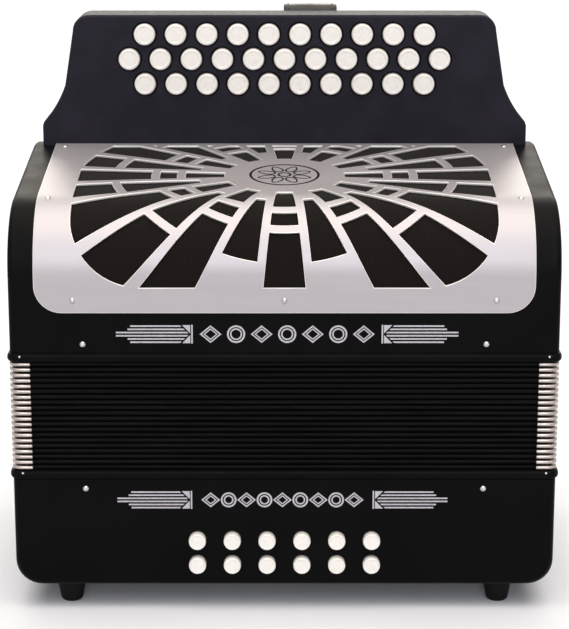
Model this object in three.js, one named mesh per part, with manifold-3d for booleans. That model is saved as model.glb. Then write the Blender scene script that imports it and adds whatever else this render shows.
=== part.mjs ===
// A three-row diatonic button accordion, standing on its bass end with the bellows closed.
// Millimetres, Z up. X runs along the rows of buttons, -Y is the grille side and +Y the player's side.
import * as THREE from "three";
import { mergeVertices } from "three/addons/utils/BufferGeometryUtils.js";
import Module from "manifold-3d";

const wasm = await Module();
wasm.setup();

// Sizes shared by the whole instrument
const CASE_WIDTH = 310;
const CASE_DEPTH = 185;
const CASE_WALL = 7;
const CASE_EDGE_RADIUS = 4;
const SEAT_GAP = 0.3; // clearance between two pieces that touch
const OVERRUN = 1; // how far a cut runs past the piece that it cuts
const ROUND_SIDES = 12;
const SMALL_ROUND_SIDES = 8;
const WELD = 0.0001; // vertices closer than this are one

// Bass casing, its cover and its feet
const BASS_CASE_HEIGHT = 62.5;
const BASS_BOTTOM_RADIUS = 15;
const BASS_FLOOR = 5;
const BASS_BOARD_HEIGHT = 44; // from the casing's underside to the reed board's underside
const REED_BOARD = 6;
const BASS_REED_BLOCK = { width: 200, depth: 34, rise: 30, behindMiddle: 2.5, holePitch: 32 };
const AIR_DUCT_WIDTH = 38;
const DUCT_WALL = 4;
const COVER = { fromDuct: 3, fromEnds: 32.5, thickness: 3, slotWidth: 4, slotMargin: 18 };
const COVER_SLOT_COUNT = 7;
const FOOT = { height: 16, topRadius: 8, footRadius: 6.4, edge: 1.6, fromSide: 30.5, fromFront: 17 };

// Bellows and its two end frames
const FOLD_COUNT = 20;
const FOLD_PITCH = 3.14;
const FOLD_DEPTH = 18;
const FOLD_WALL = 1.5; // leather and card behind the deepest part of a fold
const FOLD_INSET = 1; // how far the folds lie inside the casings' outline
const FOLD_CORNER_RADIUS = 6;
const FRAME_BAND = 6; // height of a frame that shows between a casing and the folds
const FRAME_RIM = { thickness: 6, rise: 12 };
const BEAD = { bulge: 1.6, height: 4.4 };

// Treble casing: an upright front that bends over into a gently sloping top
const FRONT_RISE = 43.3;
const BEND_RADIUS = 40;
const BEND_FACETS = 8;
const TOP_SLOPE = THREE.MathUtils.degToRad(7.5);
const REAR_CORNER = 8;
const TREBLE_BOARD_HEIGHT = 25; // from the casing's open end to the reed board's underside
const TREBLE_REED_BLOCK = { depth: 17, drop: 36, width: 210 };
const FLANGE = 31; // width of the casing's face that frames the grille window at each side
const WINDOW_SILL = 34; // from the casing's open end to the grille window, along the skin

// Grille and the gauze behind it
const GRILLE = { width: 280.4, thickness: 1.5, sill: 23.2, cornerRadius: 15.5 };
const GAUZE_THICKNESS = 0.8;
const RAY_COUNT = 24;
const SUN_HEIGHT = 113.4; // from the grille's lower edge to the middle of the rays, along the skin
const SUN_REACH = { side: 120, below: 98.9, above: 63.1, corner: 40, shoulder: 120.3, furthest: 150 };
const SUN_CORNER_STEPS = 4;
// The sun is flatter than a circle: its upper half evenly, and its lower half as pairs of how far
// below its middle a point would lie in a round sun, and how far it lies here
const SUN_UPPER_SHARE = 0.93;
const SUN_FALL = [[0, 0], [34, 32.5], [50, 44.1], [200, 176.4]];
const LONG_RAY = { start: 35.2, halfWidth: 1, spreadShare: 0.096 };
const SHORT_RAY = { start: 50.5, halfWidth: -5.5, spreadShare: 0.162, end: 97 };
const STEEPEST = Math.PI / 6; // short rays nearer to straight down than this stop early
const BRIDGE = 5.2; // width of the arcs that cross a ray
const LONG_RAY_BRIDGES = [57.7, 72.7]; // inner edges of the arcs across a long ray
const SHORT_RAY_BRIDGE = 96;

// Fingerboard, a hollow box that stands on the treble casing
const BOARD_FRONT = 137.3; // from the casing's front to the face that the buttons come through
const BOARD = { depth: 30, front: 4, back: 3, side: 4, height: 79.3 };
const BOARD_WIDTH = { base: 296.6, shoulder: 295, neck: 268, top: 257.4 };
const BOARD_RISE = { foot: 12, shoulder: 14.5, flare: 24.5, neck: 37 };
const BOARD_FLARE_WIDTH = 277;
const BOARD_CORNER = 10;
const BOARD_CURVE_STEPS = 5;

// Treble keys: a button, a lever on the common axle and a pallet over its tone hole
const BUTTON_PITCH = 19;
const ROW_PITCH = 15.2;
const OUTER_ROW_COUNT = 10;
const MIDDLE_ROW_COUNT = 11;
const INNER_ROW_COUNT = 10;
const OUTER_ROW_FROM_TOP = 11.4;
const BUTTON = { radius: 6.5, proud: 6.5, dome: 1, edge: 1.4, behind: 2.7, holeGap: 0.9 };
const AXLE_RADIUS = 2;
const AXLE = { fromBoardFront: 7.7, belowBoard: 13.8, socket: 4 };
const HUB = { radius: 4.6, width: 4.4 };
const LEVER = { thickness: 2, width: 6, armWidth: 5, setBack: 7.7, tab: 6, bendRise: 16 };
const PALLET = { width: 15, length: 22, thickness: 7 };
const PALLET_ROW_Y = { outer: 45, middle: 75, inner: 105 };
const TONE_HOLE = { width: 9, length: 15, depth: 34 };

// Bass buttons, which slide in the casing's front and in a guide rail behind it
const BASS_BUTTON = { radius: 5, proud: 4, edge: 0.8, length: 12, holeGap: 0.5 };
const BASS_COLUMN_COUNT = 6;
const BASS_PITCH = 20;
const BASS_ROW_HEIGHTS = { upper: 26, lower: 11.5 };
const BASS_STEM = { side: 4, length: 24, gap: 0.4 };
const GUIDE_RAIL = { fromFront: 24, thickness: 4, margin: 5 };

// Air button, whose stem carries the valve disc inside the air duct
const AIR = { fromSide: 25, height: 31, radius: 6.5, proud: 6, edge: 1.2, stem: 5, stemGap: 0.4 };
const AIR_DISC = { side: 26, thickness: 3 };
const AIR_VENT = { width: 4, height: 12, fromStem: 5 };
const AIR_CAP_GAP = 4.6; // the button's travel and a little more

// Hand strap across the back of the bass casing, and thumb strap behind the fingerboard
const HAND_STRAP = { fromAirButton: 9.5, width: 44, thickness: 4, rise: 40, tab: 18, height: 31 };
const THUMB_STRAP = { width: 33, middle: 16, thickness: 3, height: 56, rise: 26, above: 3.6, corner: 14 };
const STRAP_STEPS = 14;

// Levels above the floor, and the depth at the middle of the whole instrument
const bassBottom = FOOT.height;
const bassTop = bassBottom + BASS_CASE_HEIGHT;
const foldsBottom = bassTop + FRAME_BAND;
const foldsTop = foldsBottom + FOLD_COUNT * FOLD_PITCH;
const trebleBottom = foldsTop + FRAME_BAND;
const bendStart = trebleBottom + FRONT_RISE;
const depthMiddle = (CASE_DEPTH + HAND_STRAP.rise - BASS_BUTTON.proud) / 2;
const halfWidth = CASE_WIDTH / 2;
const innerHalfWidth = halfWidth - CASE_WALL;
const airX = halfWidth - AIR.fromSide;
const ductX = innerHalfWidth - AIR_DUCT_WIDTH;
const coverHalf = ductX - DUCT_WALL - COVER.fromDuct;

// Solids from three.js geometries

function solidOf(geometry) {
  const bare = geometry.clone();
  for (const name of Object.keys(bare.attributes)) if (name !== "position") bare.deleteAttribute(name);
  const merged = mergeVertices(bare, WELD);
  const vertProperties = new Float32Array(merged.attributes.position.array);
  const triVerts = new Uint32Array(merged.index.array);
  return new wasm.Manifold(new wasm.Mesh({ numProp: 3, vertProperties, triVerts }));
}

function geometryOf(solid) {
  const mesh = solid.getMesh();
  const positions = new Float32Array(mesh.numVert * 3);
  for (let i = 0; i < mesh.numVert; i++) {
    positions.set(mesh.vertProperties.subarray(i * mesh.numProp, i * mesh.numProp + 3), i * 3);
  }
  const geometry = new THREE.BufferGeometry();
  geometry.setAttribute("position", new THREE.BufferAttribute(positions, 3));
  geometry.setIndex(new THREE.BufferAttribute(new Uint32Array(mesh.triVerts), 1));
  geometry.computeVertexNormals();
  return geometry;
}

function box(x, y, z) {
  const geometry = new THREE.BoxGeometry(x[1] - x[0], y[1] - y[0], z[1] - z[0]);
  geometry.translate((x[0] + x[1]) / 2, (y[0] + y[1]) / 2, (z[0] + z[1]) / 2);
  return solidOf(geometry);
}

// Extrusions of an outline: along X from (y, z) points, along Y from (x, z), along Z from (x, y)
const AXIS_BASES = {
  x: [new THREE.Vector3(0, 1, 0), new THREE.Vector3(0, 0, 1), new THREE.Vector3(1, 0, 0)],
  y: [new THREE.Vector3(1, 0, 0), new THREE.Vector3(0, 0, 1), new THREE.Vector3(0, -1, 0)],
  z: [new THREE.Vector3(1, 0, 0), new THREE.Vector3(0, 1, 0), new THREE.Vector3(0, 0, 1)],
};

function prism(axis, outline, from, to) {
  const points = outline.map((p) => new THREE.Vector2(p[0], p[1]));
  const options = { depth: to - from, bevelEnabled: false };
  const geometry = new THREE.ExtrudeGeometry(new THREE.Shape(points), options);
  geometry.applyMatrix4(new THREE.Matrix4().makeBasis(...AXIS_BASES[axis]));
  if (axis === "x") geometry.translate(from, 0, 0);
  if (axis === "y") geometry.translate(0, to, 0);
  if (axis === "z") geometry.translate(0, 0, from);
  return solidOf(geometry);
}

// A turned piece on the Y axis; profile points are [radius, y], from the front of the axis to its back
function turnedAlongY(profile, sides, x, z) {
  const points = profile.map((p) => new THREE.Vector2(p[0], p[1]));
  const geometry = new THREE.LatheGeometry(points, sides);
  geometry.rotateY(Math.PI / sides);
  geometry.translate(x, 0, z);
  return solidOf(geometry);
}

function rodAlong(axis, radius, sides, from, to, across) {
  const geometry = new THREE.CylinderGeometry(radius, radius, to - from, sides);
  geometry.rotateY(Math.PI / sides);
  const middle = (from + to) / 2;
  if (axis === "x") {
    geometry.rotateZ(-Math.PI / 2);
    geometry.translate(middle, across[0], across[1]);
  } else {
    geometry.translate(across[0], middle, across[1]);
  }
  return solidOf(geometry);
}

// The radius of a regular hole whose flats stay clear of a round piece by a gap
const holeRadius = (radius, gap, sides) => (radius + gap) / Math.cos(Math.PI / sides);

const joined = (solids) => solids.reduce((whole, next) => whole.add(next));

// Points of a rectangle with rounded corners, anticlockwise, round the middle of the casing
function roundedRectangle(halfX, halfY, radius, steps) {
  const corners = [[1, 1], [-1, 1], [-1, -1], [1, -1]];
  return corners.flatMap(([sideX, sideY], corner) =>
    Array.from({ length: steps + 1 }, (_, i) => {
      const angle = (corner + i / steps) * (Math.PI / 2);
      const x = sideX * (halfX - radius) + radius * Math.cos(angle);
      const y = CASE_DEPTH / 2 + sideY * (halfY - radius) + radius * Math.sin(angle);
      return [x, y];
    }),
  );
}

// A closed section of [outward offset, z] points, swept round the casing's outline
function sweptRound(section, inset, radius, steps) {
  const rings = section.map(([offset, z]) => {
    const out = offset - inset;
    const turned = Math.max(radius + offset, SEAT_GAP);
    return roundedRectangle(halfWidth + out, CASE_DEPTH / 2 + out, turned, steps).map((p) => [...p, z]);
  });
  const count = rings[0].length;
  const at = (i, j) => (i % rings.length) * count + (j % count);
  const triangles = [];
  for (let i = 0; i < rings.length; i++) {
    for (let j = 0; j < count; j++) {
      triangles.push(at(i, j), at(i, j + 1), at(i + 1, j + 1));
      triangles.push(at(i, j), at(i + 1, j + 1), at(i + 1, j));
    }
  }
  const geometry = new THREE.BufferGeometry();
  geometry.setAttribute("position", new THREE.Float32BufferAttribute(rings.flat(2), 3));
  geometry.setIndex(triangles);
  return solidOf(geometry);
}

// The skin: the line of the treble casing's front, bend and top, seen from the side

const bendAngle = Math.PI / 2 - TOP_SLOPE;
const bendLength = BEND_RADIUS * bendAngle;
const bendEndY = BEND_RADIUS * (1 - Math.cos(bendAngle));
const bendEndZ = bendStart + BEND_RADIUS * Math.sin(bendAngle);

// Height of the sloping top at a depth y, inset square to the skin
function topZ(y, inset = 0) {
  return bendEndZ + (y - bendEndY) * Math.tan(TOP_SLOPE) - inset / Math.cos(TOP_SLOPE);
}

const slopeLengthTo = (y) => (y - bendEndY) / Math.cos(TOP_SLOPE);
const skinLengthTo = (y) => FRONT_RISE + bendLength + slopeLengthTo(y);

// Corners of the faceted skin as [length along the skin, y, z]
function skinCorners(inset, endY) {
  const radius = BEND_RADIUS - inset;
  const corners = [[0, inset, trebleBottom]];
  for (let i = 0; i <= BEND_FACETS; i++) {
    const angle = (bendAngle * i) / BEND_FACETS;
    const y = BEND_RADIUS - radius * Math.cos(angle);
    corners.push([FRONT_RISE + BEND_RADIUS * angle, y, bendStart + radius * Math.sin(angle)]);
  }
  corners.push([skinLengthTo(endY), endY + inset * Math.sin(TOP_SLOPE), topZ(endY) - inset * Math.cos(TOP_SLOPE)]);
  return corners;
}

// The place on the skin at a length along it, pressed in by an inset
function skinPoint(length, inset) {
  const corners = skinCorners(inset, CASE_DEPTH);
  const next = Math.max(1, corners.findIndex((c) => c[0] >= length));
  const [a, b] = [corners[next - 1], corners[next]];
  const share = (length - a[0]) / (b[0] - a[0]);
  return [a[1] + share * (b[1] - a[1]), a[2] + share * (b[2] - a[2])];
}

// A strip of the skin between two lengths, from one inset to another, as an outline in (y, z)
function skinStrip(from, to, outerInset, innerInset) {
  const lengths = skinCorners(0, CASE_DEPTH).map((c) => c[0]);
  const between = [from, ...lengths.filter((l) => l > from && l < to), to];
  const outside = between.map((l) => skinPoint(l, outerInset));
  const inside = between.map((l) => skinPoint(l, innerInset));
  return [...outside, ...inside.reverse()];
}

// Treble casing with its reed board and reed blocks

function caseSideOutline() {
  const front = skinCorners(0, CASE_DEPTH - REAR_CORNER).map((c) => [c[1], c[2]]);
  const rear = [CASE_DEPTH, topZ(CASE_DEPTH) - REAR_CORNER];
  return [...front, rear, [CASE_DEPTH, trebleBottom]];
}

const trebleBoardTop = trebleBottom + TREBLE_BOARD_HEIGHT + REED_BOARD;
const boardBottom = topZ(BOARD_FRONT);
const axleZ = boardBottom - AXLE.belowBoard;
const windowHalfWidth = halfWidth - FLANGE;
const axleY = BOARD_FRONT + AXLE.fromBoardFront;
const windowEndLength = skinLengthTo(BOARD_FRONT - BOARD.front);

function trebleCasing() {
  const upright = roundedRectangle(halfWidth, CASE_DEPTH / 2, CASE_EDGE_RADIUS, 2);
  const roof = topZ(CASE_DEPTH) + OVERRUN;
  let casing = prism("x", caseSideOutline(), -halfWidth, halfWidth);
  casing = casing.intersect(prism("z", upright, trebleBottom, roof));
  const inside = [-innerHalfWidth, innerHalfWidth];
  const depth = [CASE_WALL, CASE_DEPTH - CASE_WALL];
  const belowBoard = [trebleBottom - OVERRUN, trebleBottom + TREBLE_BOARD_HEIGHT];
  casing = casing.subtract(box(inside, depth, belowBoard));
  const ceiling = skinCorners(CASE_WALL, CASE_DEPTH - CASE_WALL).map((c) => [c[1], c[2]]).slice(1);
  const rearTop = [CASE_DEPTH - CASE_WALL, topZ(CASE_DEPTH - CASE_WALL, CASE_WALL)];
  ceiling[ceiling.length - 1] = rearTop;
  const cavity = [[CASE_WALL, trebleBoardTop], ...ceiling, [CASE_DEPTH - CASE_WALL, trebleBoardTop]];
  casing = casing.subtract(prism("x", cavity, ...inside));
  const window = skinStrip(WINDOW_SILL, windowEndLength, -OVERRUN, CASE_WALL + OVERRUN);
  casing = casing.subtract(prism("x", window, -windowHalfWidth, windowHalfWidth));
  const leverSlot = [BOARD_FRONT + BOARD.front, BOARD_FRONT + BOARD.depth - BOARD.side];
  casing = casing.subtract(box([-windowHalfWidth, windowHalfWidth], leverSlot, [axleZ, roof]));
  for (const rowY of Object.values(PALLET_ROW_Y)) {
    const across = [-TREBLE_REED_BLOCK.width / 2, TREBLE_REED_BLOCK.width / 2];
    const along = [rowY - TREBLE_REED_BLOCK.depth / 2, rowY + TREBLE_REED_BLOCK.depth / 2];
    const level = trebleBottom + TREBLE_BOARD_HEIGHT + OVERRUN;
    casing = casing.add(box(across, along, [level - TREBLE_REED_BLOCK.drop - OVERRUN, level]));
  }
  for (const key of trebleKeyPlaces) {
    const x = [key.leverX - TONE_HOLE.width / 2, key.leverX + TONE_HOLE.width / 2];
    const y = [key.palletY - TONE_HOLE.length / 2, key.palletY + TONE_HOLE.length / 2];
    casing = casing.subtract(box(x, y, [trebleBoardTop - TONE_HOLE.depth, trebleBoardTop + OVERRUN]));
  }
  const socket = innerHalfWidth + AXLE.socket;
  const bore = holeRadius(AXLE_RADIUS, SEAT_GAP, SMALL_ROUND_SIDES);
  return casing.subtract(rodAlong("x", bore, SMALL_ROUND_SIDES, -socket, socket, [axleY, axleZ]));
}

function trebleAxle() {
  const reach = innerHalfWidth + AXLE.socket - SEAT_GAP;
  return rodAlong("x", AXLE_RADIUS, SMALL_ROUND_SIDES, -reach, reach, [axleY, axleZ]);
}

// Grille: a sheet with a sunburst of openings, bent to the skin

const skinAt = (height) => GRILLE.sill + height; // from the grille's lower edge to the skin's length
const grilleEndLength = skinLengthTo(BOARD_FRONT - SEAT_GAP);
const grilleHeight = grilleEndLength - GRILLE.sill;

// How far above the sun's middle a point lies that would be at y in a round sun
function flattened(y) {
  if (y >= 0) {
    return y * SUN_UPPER_SHARE;
  }
  const next = SUN_FALL.findIndex(([round]) => round >= -y);
  const [roundFrom, from] = SUN_FALL[next - 1];
  const [roundTo, to] = SUN_FALL[next];
  return -(from + ((-y - roundFrom) / (roundTo - roundFrom)) * (to - from));
}

// One opening between two distances from the sun's middle, in flat (x, height) coordinates.
// Its outer end stops at the edge of the sunburst.
function rayOpening(angle, ray, from, to) {
  const half = (r) => Math.max(ray.halfWidth + ray.spreadShare * r, SEAT_GAP);
  const along = [Math.cos(angle), Math.sin(angle)];
  const place = (r, side) => {
    const off = side * half(r);
    return [along[0] * r - along[1] * off, flattened(along[1] * r + along[0] * off)];
  };
  return [place(from, -1), place(to, -1), place(to, 1), place(from, 1)];
}

// The sunburst's outer limit, in coordinates from the sun's middle
function sunLimit() {
  const { side, below, above, corner, shoulder } = SUN_REACH;
  const points = [];
  for (let i = 0; i <= SUN_CORNER_STEPS; i++) {
    const turn = (i / SUN_CORNER_STEPS) * (Math.PI / 2);
    points.push([side - corner + corner * Math.sin(turn), corner - below - corner * Math.cos(turn)]);
  }
  const from = Math.acos(side / shoulder);
  const to = Math.asin(above / shoulder);
  for (let i = 0; i <= SUN_CORNER_STEPS; i++) {
    const turn = from + (i / SUN_CORNER_STEPS) * (to - from);
    points.push([shoulder * Math.cos(turn), shoulder * Math.sin(turn)]);
  }
  const mirrored = points.map(([x, y]) => [-x, y]).reverse();
  return [...points, ...mirrored];
}

function rayOpenings() {
  const openings = [];
  const beyond = SUN_REACH.furthest;
  for (let i = 0; i < RAY_COUNT; i++) {
    const angle = (2 * Math.PI * i) / RAY_COUNT;
    const fromStraightDown = Math.abs(angle - (3 * Math.PI) / 2);
    if (i % 2 === 0) {
      const edges = [LONG_RAY.start, ...LONG_RAY_BRIDGES.flatMap((r) => [r, r + BRIDGE]), beyond];
      for (let k = 0; k < edges.length; k += 2) {
        openings.push(rayOpening(angle, LONG_RAY, edges[k], edges[k + 1]));
      }
    } else if (fromStraightDown < STEEPEST) {
      openings.push(rayOpening(angle, SHORT_RAY, SHORT_RAY.start, SHORT_RAY.end));
    } else {
      openings.push(rayOpening(angle, SHORT_RAY, SHORT_RAY.start, SHORT_RAY_BRIDGE));
      openings.push(rayOpening(angle, LONG_RAY, SHORT_RAY_BRIDGE + BRIDGE, beyond));
    }
  }
  return openings;
}

function grilleOutline() {
  const half = GRILLE.width / 2;
  const radius = GRILLE.cornerRadius;
  const corner = [0, 1, 2, 3].map((i) => (i * Math.PI) / 6);
  const right = corner.map((a) => [half - radius + radius * Math.sin(a), radius - radius * Math.cos(a)]);
  const left = right.map(([x, y]) => [-x, y]).reverse();
  return [...right, [half, grilleHeight], [-half, grilleHeight], ...left];
}

// Moves a flat solid, made in (x, height, thickness), onto the skin; insets count inwards
function bentToSkin(flat, outerInset) {
  const lengths = skinCorners(0, CASE_DEPTH).map((c) => c[0] - GRILLE.sill);
  const cuts = [-OVERRUN, ...lengths.filter((l) => l > 0 && l < grilleHeight), grilleHeight + OVERRUN];
  const strips = [];
  for (let i = 0; i + 1 < cuts.length; i++) {
    const slab = box([-halfWidth, halfWidth], [cuts[i], cuts[i + 1]], [-CASE_WALL, CASE_WALL]);
    const mesh = flat.intersect(slab).getMesh();
    const positions = new Float32Array(mesh.numVert * 3);
    for (let v = 0; v < mesh.numVert; v++) {
      const [x, height, depth] = mesh.vertProperties.subarray(v * mesh.numProp, v * mesh.numProp + 3);
      const [y, z] = skinPoint(skinAt(height), outerInset - depth);
      positions.set([x, y, z], v * 3);
    }
    const geometry = new THREE.BufferGeometry();
    geometry.setAttribute("position", new THREE.BufferAttribute(positions, 3));
    geometry.setIndex(new THREE.BufferAttribute(new Uint32Array(mesh.triVerts), 1));
    strips.push(solidOf(geometry));
  }
  return joined(strips);
}

function grille() {
  const sheet = prism("z", grilleOutline(), -GRILLE.thickness, 0);
  const limit = sunLimit().map(([x, y]) => [x, y + SUN_HEIGHT]);
  const field = prism("z", limit, -GRILLE.thickness - OVERRUN, OVERRUN);
  const cuts = rayOpenings().map((opening) => {
    const placed = opening.map(([x, y]) => [x, y + SUN_HEIGHT]);
    return prism("z", placed, -GRILLE.thickness - OVERRUN, OVERRUN);
  });
  const pierced = sheet.subtract(joined(cuts).intersect(field));
  return bentToSkin(pierced, -GRILLE.thickness - SEAT_GAP);
}

function grilleGauze() {
  const half = windowHalfWidth - SEAT_GAP;
  const strip = skinStrip(WINDOW_SILL + SEAT_GAP, windowEndLength - SEAT_GAP, 0, GAUZE_THICKNESS);
  return prism("x", strip, -half, half);
}

// Fingerboard

const boardTop = boardBottom + BOARD.height;
const boardBack = BOARD_FRONT + BOARD.depth;

// Outline of the fingerboard in (x, z), drawn in by an inset
function boardOutline(inset) {
  const shape = new THREE.Shape();
  const half = (width) => width / 2 - inset;
  const top = boardTop - inset;
  const radius = BOARD_CORNER - inset;
  const low = boardBottom - BOARD_CORNER;
  shape.moveTo(half(BOARD_WIDTH.base), low);
  shape.lineTo(half(BOARD_WIDTH.base), boardBottom + BOARD_RISE.foot);
  shape.lineTo(half(BOARD_WIDTH.shoulder), boardBottom + BOARD_RISE.shoulder);
  shape.quadraticCurveTo(
    half(BOARD_FLARE_WIDTH), boardBottom + BOARD_RISE.flare,
    half(BOARD_WIDTH.neck), boardBottom + BOARD_RISE.neck,
  );
  shape.lineTo(half(BOARD_WIDTH.top), top - radius);
  shape.absarc(half(BOARD_WIDTH.top) - radius, top - radius, radius, 0, Math.PI / 2, false);
  const right = shape.getPoints(BOARD_CURVE_STEPS).map((p) => [p.x, p.y]);
  const distinct = right.filter((p, i) => i === 0 || Math.hypot(p[0] - right[i - 1][0], p[1] - right[i - 1][1]) > SEAT_GAP / 2);
  const left = distinct.map(([x, z]) => [-x, z]).reverse();
  return [...distinct, ...left];
}

const outerRowZ = boardTop - OUTER_ROW_FROM_TOP;
const leverPitch = BUTTON_PITCH / 3;

const rows = {
  outer: { count: OUTER_ROW_COUNT, z: outerRowZ, leverShift: -leverPitch / 2 },
  middle: { count: MIDDLE_ROW_COUNT, z: outerRowZ - ROW_PITCH, leverShift: 0 },
  inner: { count: INNER_ROW_COUNT, z: outerRowZ - 2 * ROW_PITCH, leverShift: leverPitch / 2 },
};

const trebleKeyPlaces = Object.entries(rows).flatMap(([row, place]) =>
  Array.from({ length: place.count }, (_, i) => {
    const x = (i - (place.count - 1) / 2) * BUTTON_PITCH;
    const name = `treble_key_${row}_${String(i + 1).padStart(2, "0")}`;
    return { name, x, z: place.z, leverX: x + place.leverShift, palletY: PALLET_ROW_Y[row] };
  }),
);

function fingerboard() {
  let board = prism("y", boardOutline(0), BOARD_FRONT, boardBack);
  const hollow = [BOARD_FRONT + BOARD.front, boardBack - BOARD.back];
  board = board.subtract(prism("y", boardOutline(BOARD.side), ...hollow));
  const radius = holeRadius(BUTTON.radius, BUTTON.holeGap, ROUND_SIDES);
  const through = [BOARD_FRONT - OVERRUN, BOARD_FRONT + BOARD.front + OVERRUN];
  const holes = trebleKeyPlaces.map((key) => rodAlong("y", radius, ROUND_SIDES, ...through, [key.x, key.z]));
  board = board.subtract(joined(holes));
  const seat = [
    [BOARD_FRONT - OVERRUN, topZ(BOARD_FRONT - OVERRUN) + SEAT_GAP],
    [boardBack + OVERRUN, topZ(boardBack + OVERRUN) + SEAT_GAP],
    [boardBack + OVERRUN, trebleBottom],
    [BOARD_FRONT - OVERRUN, trebleBottom],
  ].reverse();
  return board.subtract(prism("x", seat, -CASE_WIDTH, CASE_WIDTH));
}

// Treble key: the button, the cranked lever and the pallet move as one on the axle

function buttonCap(button, front, back, sides, x, z) {
  const profile = [
    [0, front],
    [button.radius - button.edge, front + button.dome],
    [button.radius, front + button.dome + button.edge],
    [button.radius, back],
    [0, back],
  ];
  return turnedAlongY(profile, sides, x, z);
}

function trebleKey(key) {
  const capBack = BOARD_FRONT + BOARD.front + BUTTON.behind;
  const cap = buttonCap(BUTTON, BOARD_FRONT - BUTTON.proud, capBack, ROUND_SIDES, key.x, key.z);
  const blade = [key.leverX - LEVER.thickness / 2, key.leverX + LEVER.thickness / 2];
  const armFront = BOARD_FRONT + BOARD.front + LEVER.setBack;
  const armBack = armFront + LEVER.width;
  const bend = axleZ + LEVER.bendRise;
  const crank = [
    [axleY - HUB.radius / 2, axleZ],
    [axleY + HUB.radius / 2, axleZ],
    [armBack, bend],
    [armBack, key.z + LEVER.tab / 2],
    [capBack - OVERRUN, key.z + LEVER.tab / 2],
    [capBack - OVERRUN, key.z - LEVER.tab / 2],
    [armFront, key.z - LEVER.tab / 2],
    [armFront, bend],
  ];
  const palletTop = trebleBoardTop + SEAT_GAP + PALLET.thickness;
  const reach = Math.hypot(axleY - key.palletY, axleZ - palletTop);
  const acrossY = ((axleZ - palletTop) / reach) * (LEVER.armWidth / 2);
  const acrossZ = ((axleY - key.palletY) / reach) * (LEVER.armWidth / 2);
  const arm = [
    [key.palletY + acrossY, palletTop - acrossZ],
    [axleY + acrossY, axleZ - acrossZ],
    [axleY - acrossY, axleZ + acrossZ],
    [key.palletY - acrossY, palletTop + acrossZ],
  ];
  const pallet = box(
    [key.leverX - PALLET.width / 2, key.leverX + PALLET.width / 2],
    [key.palletY - PALLET.length / 2, key.palletY + PALLET.length / 2],
    [trebleBoardTop + SEAT_GAP, palletTop],
  );
  const hubEnds = [key.leverX - HUB.width / 2, key.leverX + HUB.width / 2];
  const hub = rodAlong("x", HUB.radius, SMALL_ROUND_SIDES, ...hubEnds, [axleY, axleZ]);
  const boreEnds = [hubEnds[0] - OVERRUN, hubEnds[1] + OVERRUN];
  const bore = holeRadius(AXLE_RADIUS, SEAT_GAP, SMALL_ROUND_SIDES);
  const whole = joined([cap, prism("x", crank, ...blade), prism("x", arm, ...blade), pallet, hub]);
  return whole.subtract(rodAlong("x", bore, SMALL_ROUND_SIDES, ...boreEnds, [axleY, axleZ]));
}

// Bass casing with its reed board, reed block, air duct and guide rail

const bassButtonPlaces = Object.entries(BASS_ROW_HEIGHTS).flatMap(([row, rise]) =>
  Array.from({ length: BASS_COLUMN_COUNT }, (_, i) => {
    const x = (i - (BASS_COLUMN_COUNT - 1) / 2) * BASS_PITCH;
    return { name: `bass_button_${row}_${String(i + 1).padStart(2, "0")}`, x, z: bassBottom + rise };
  }),
);

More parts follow.
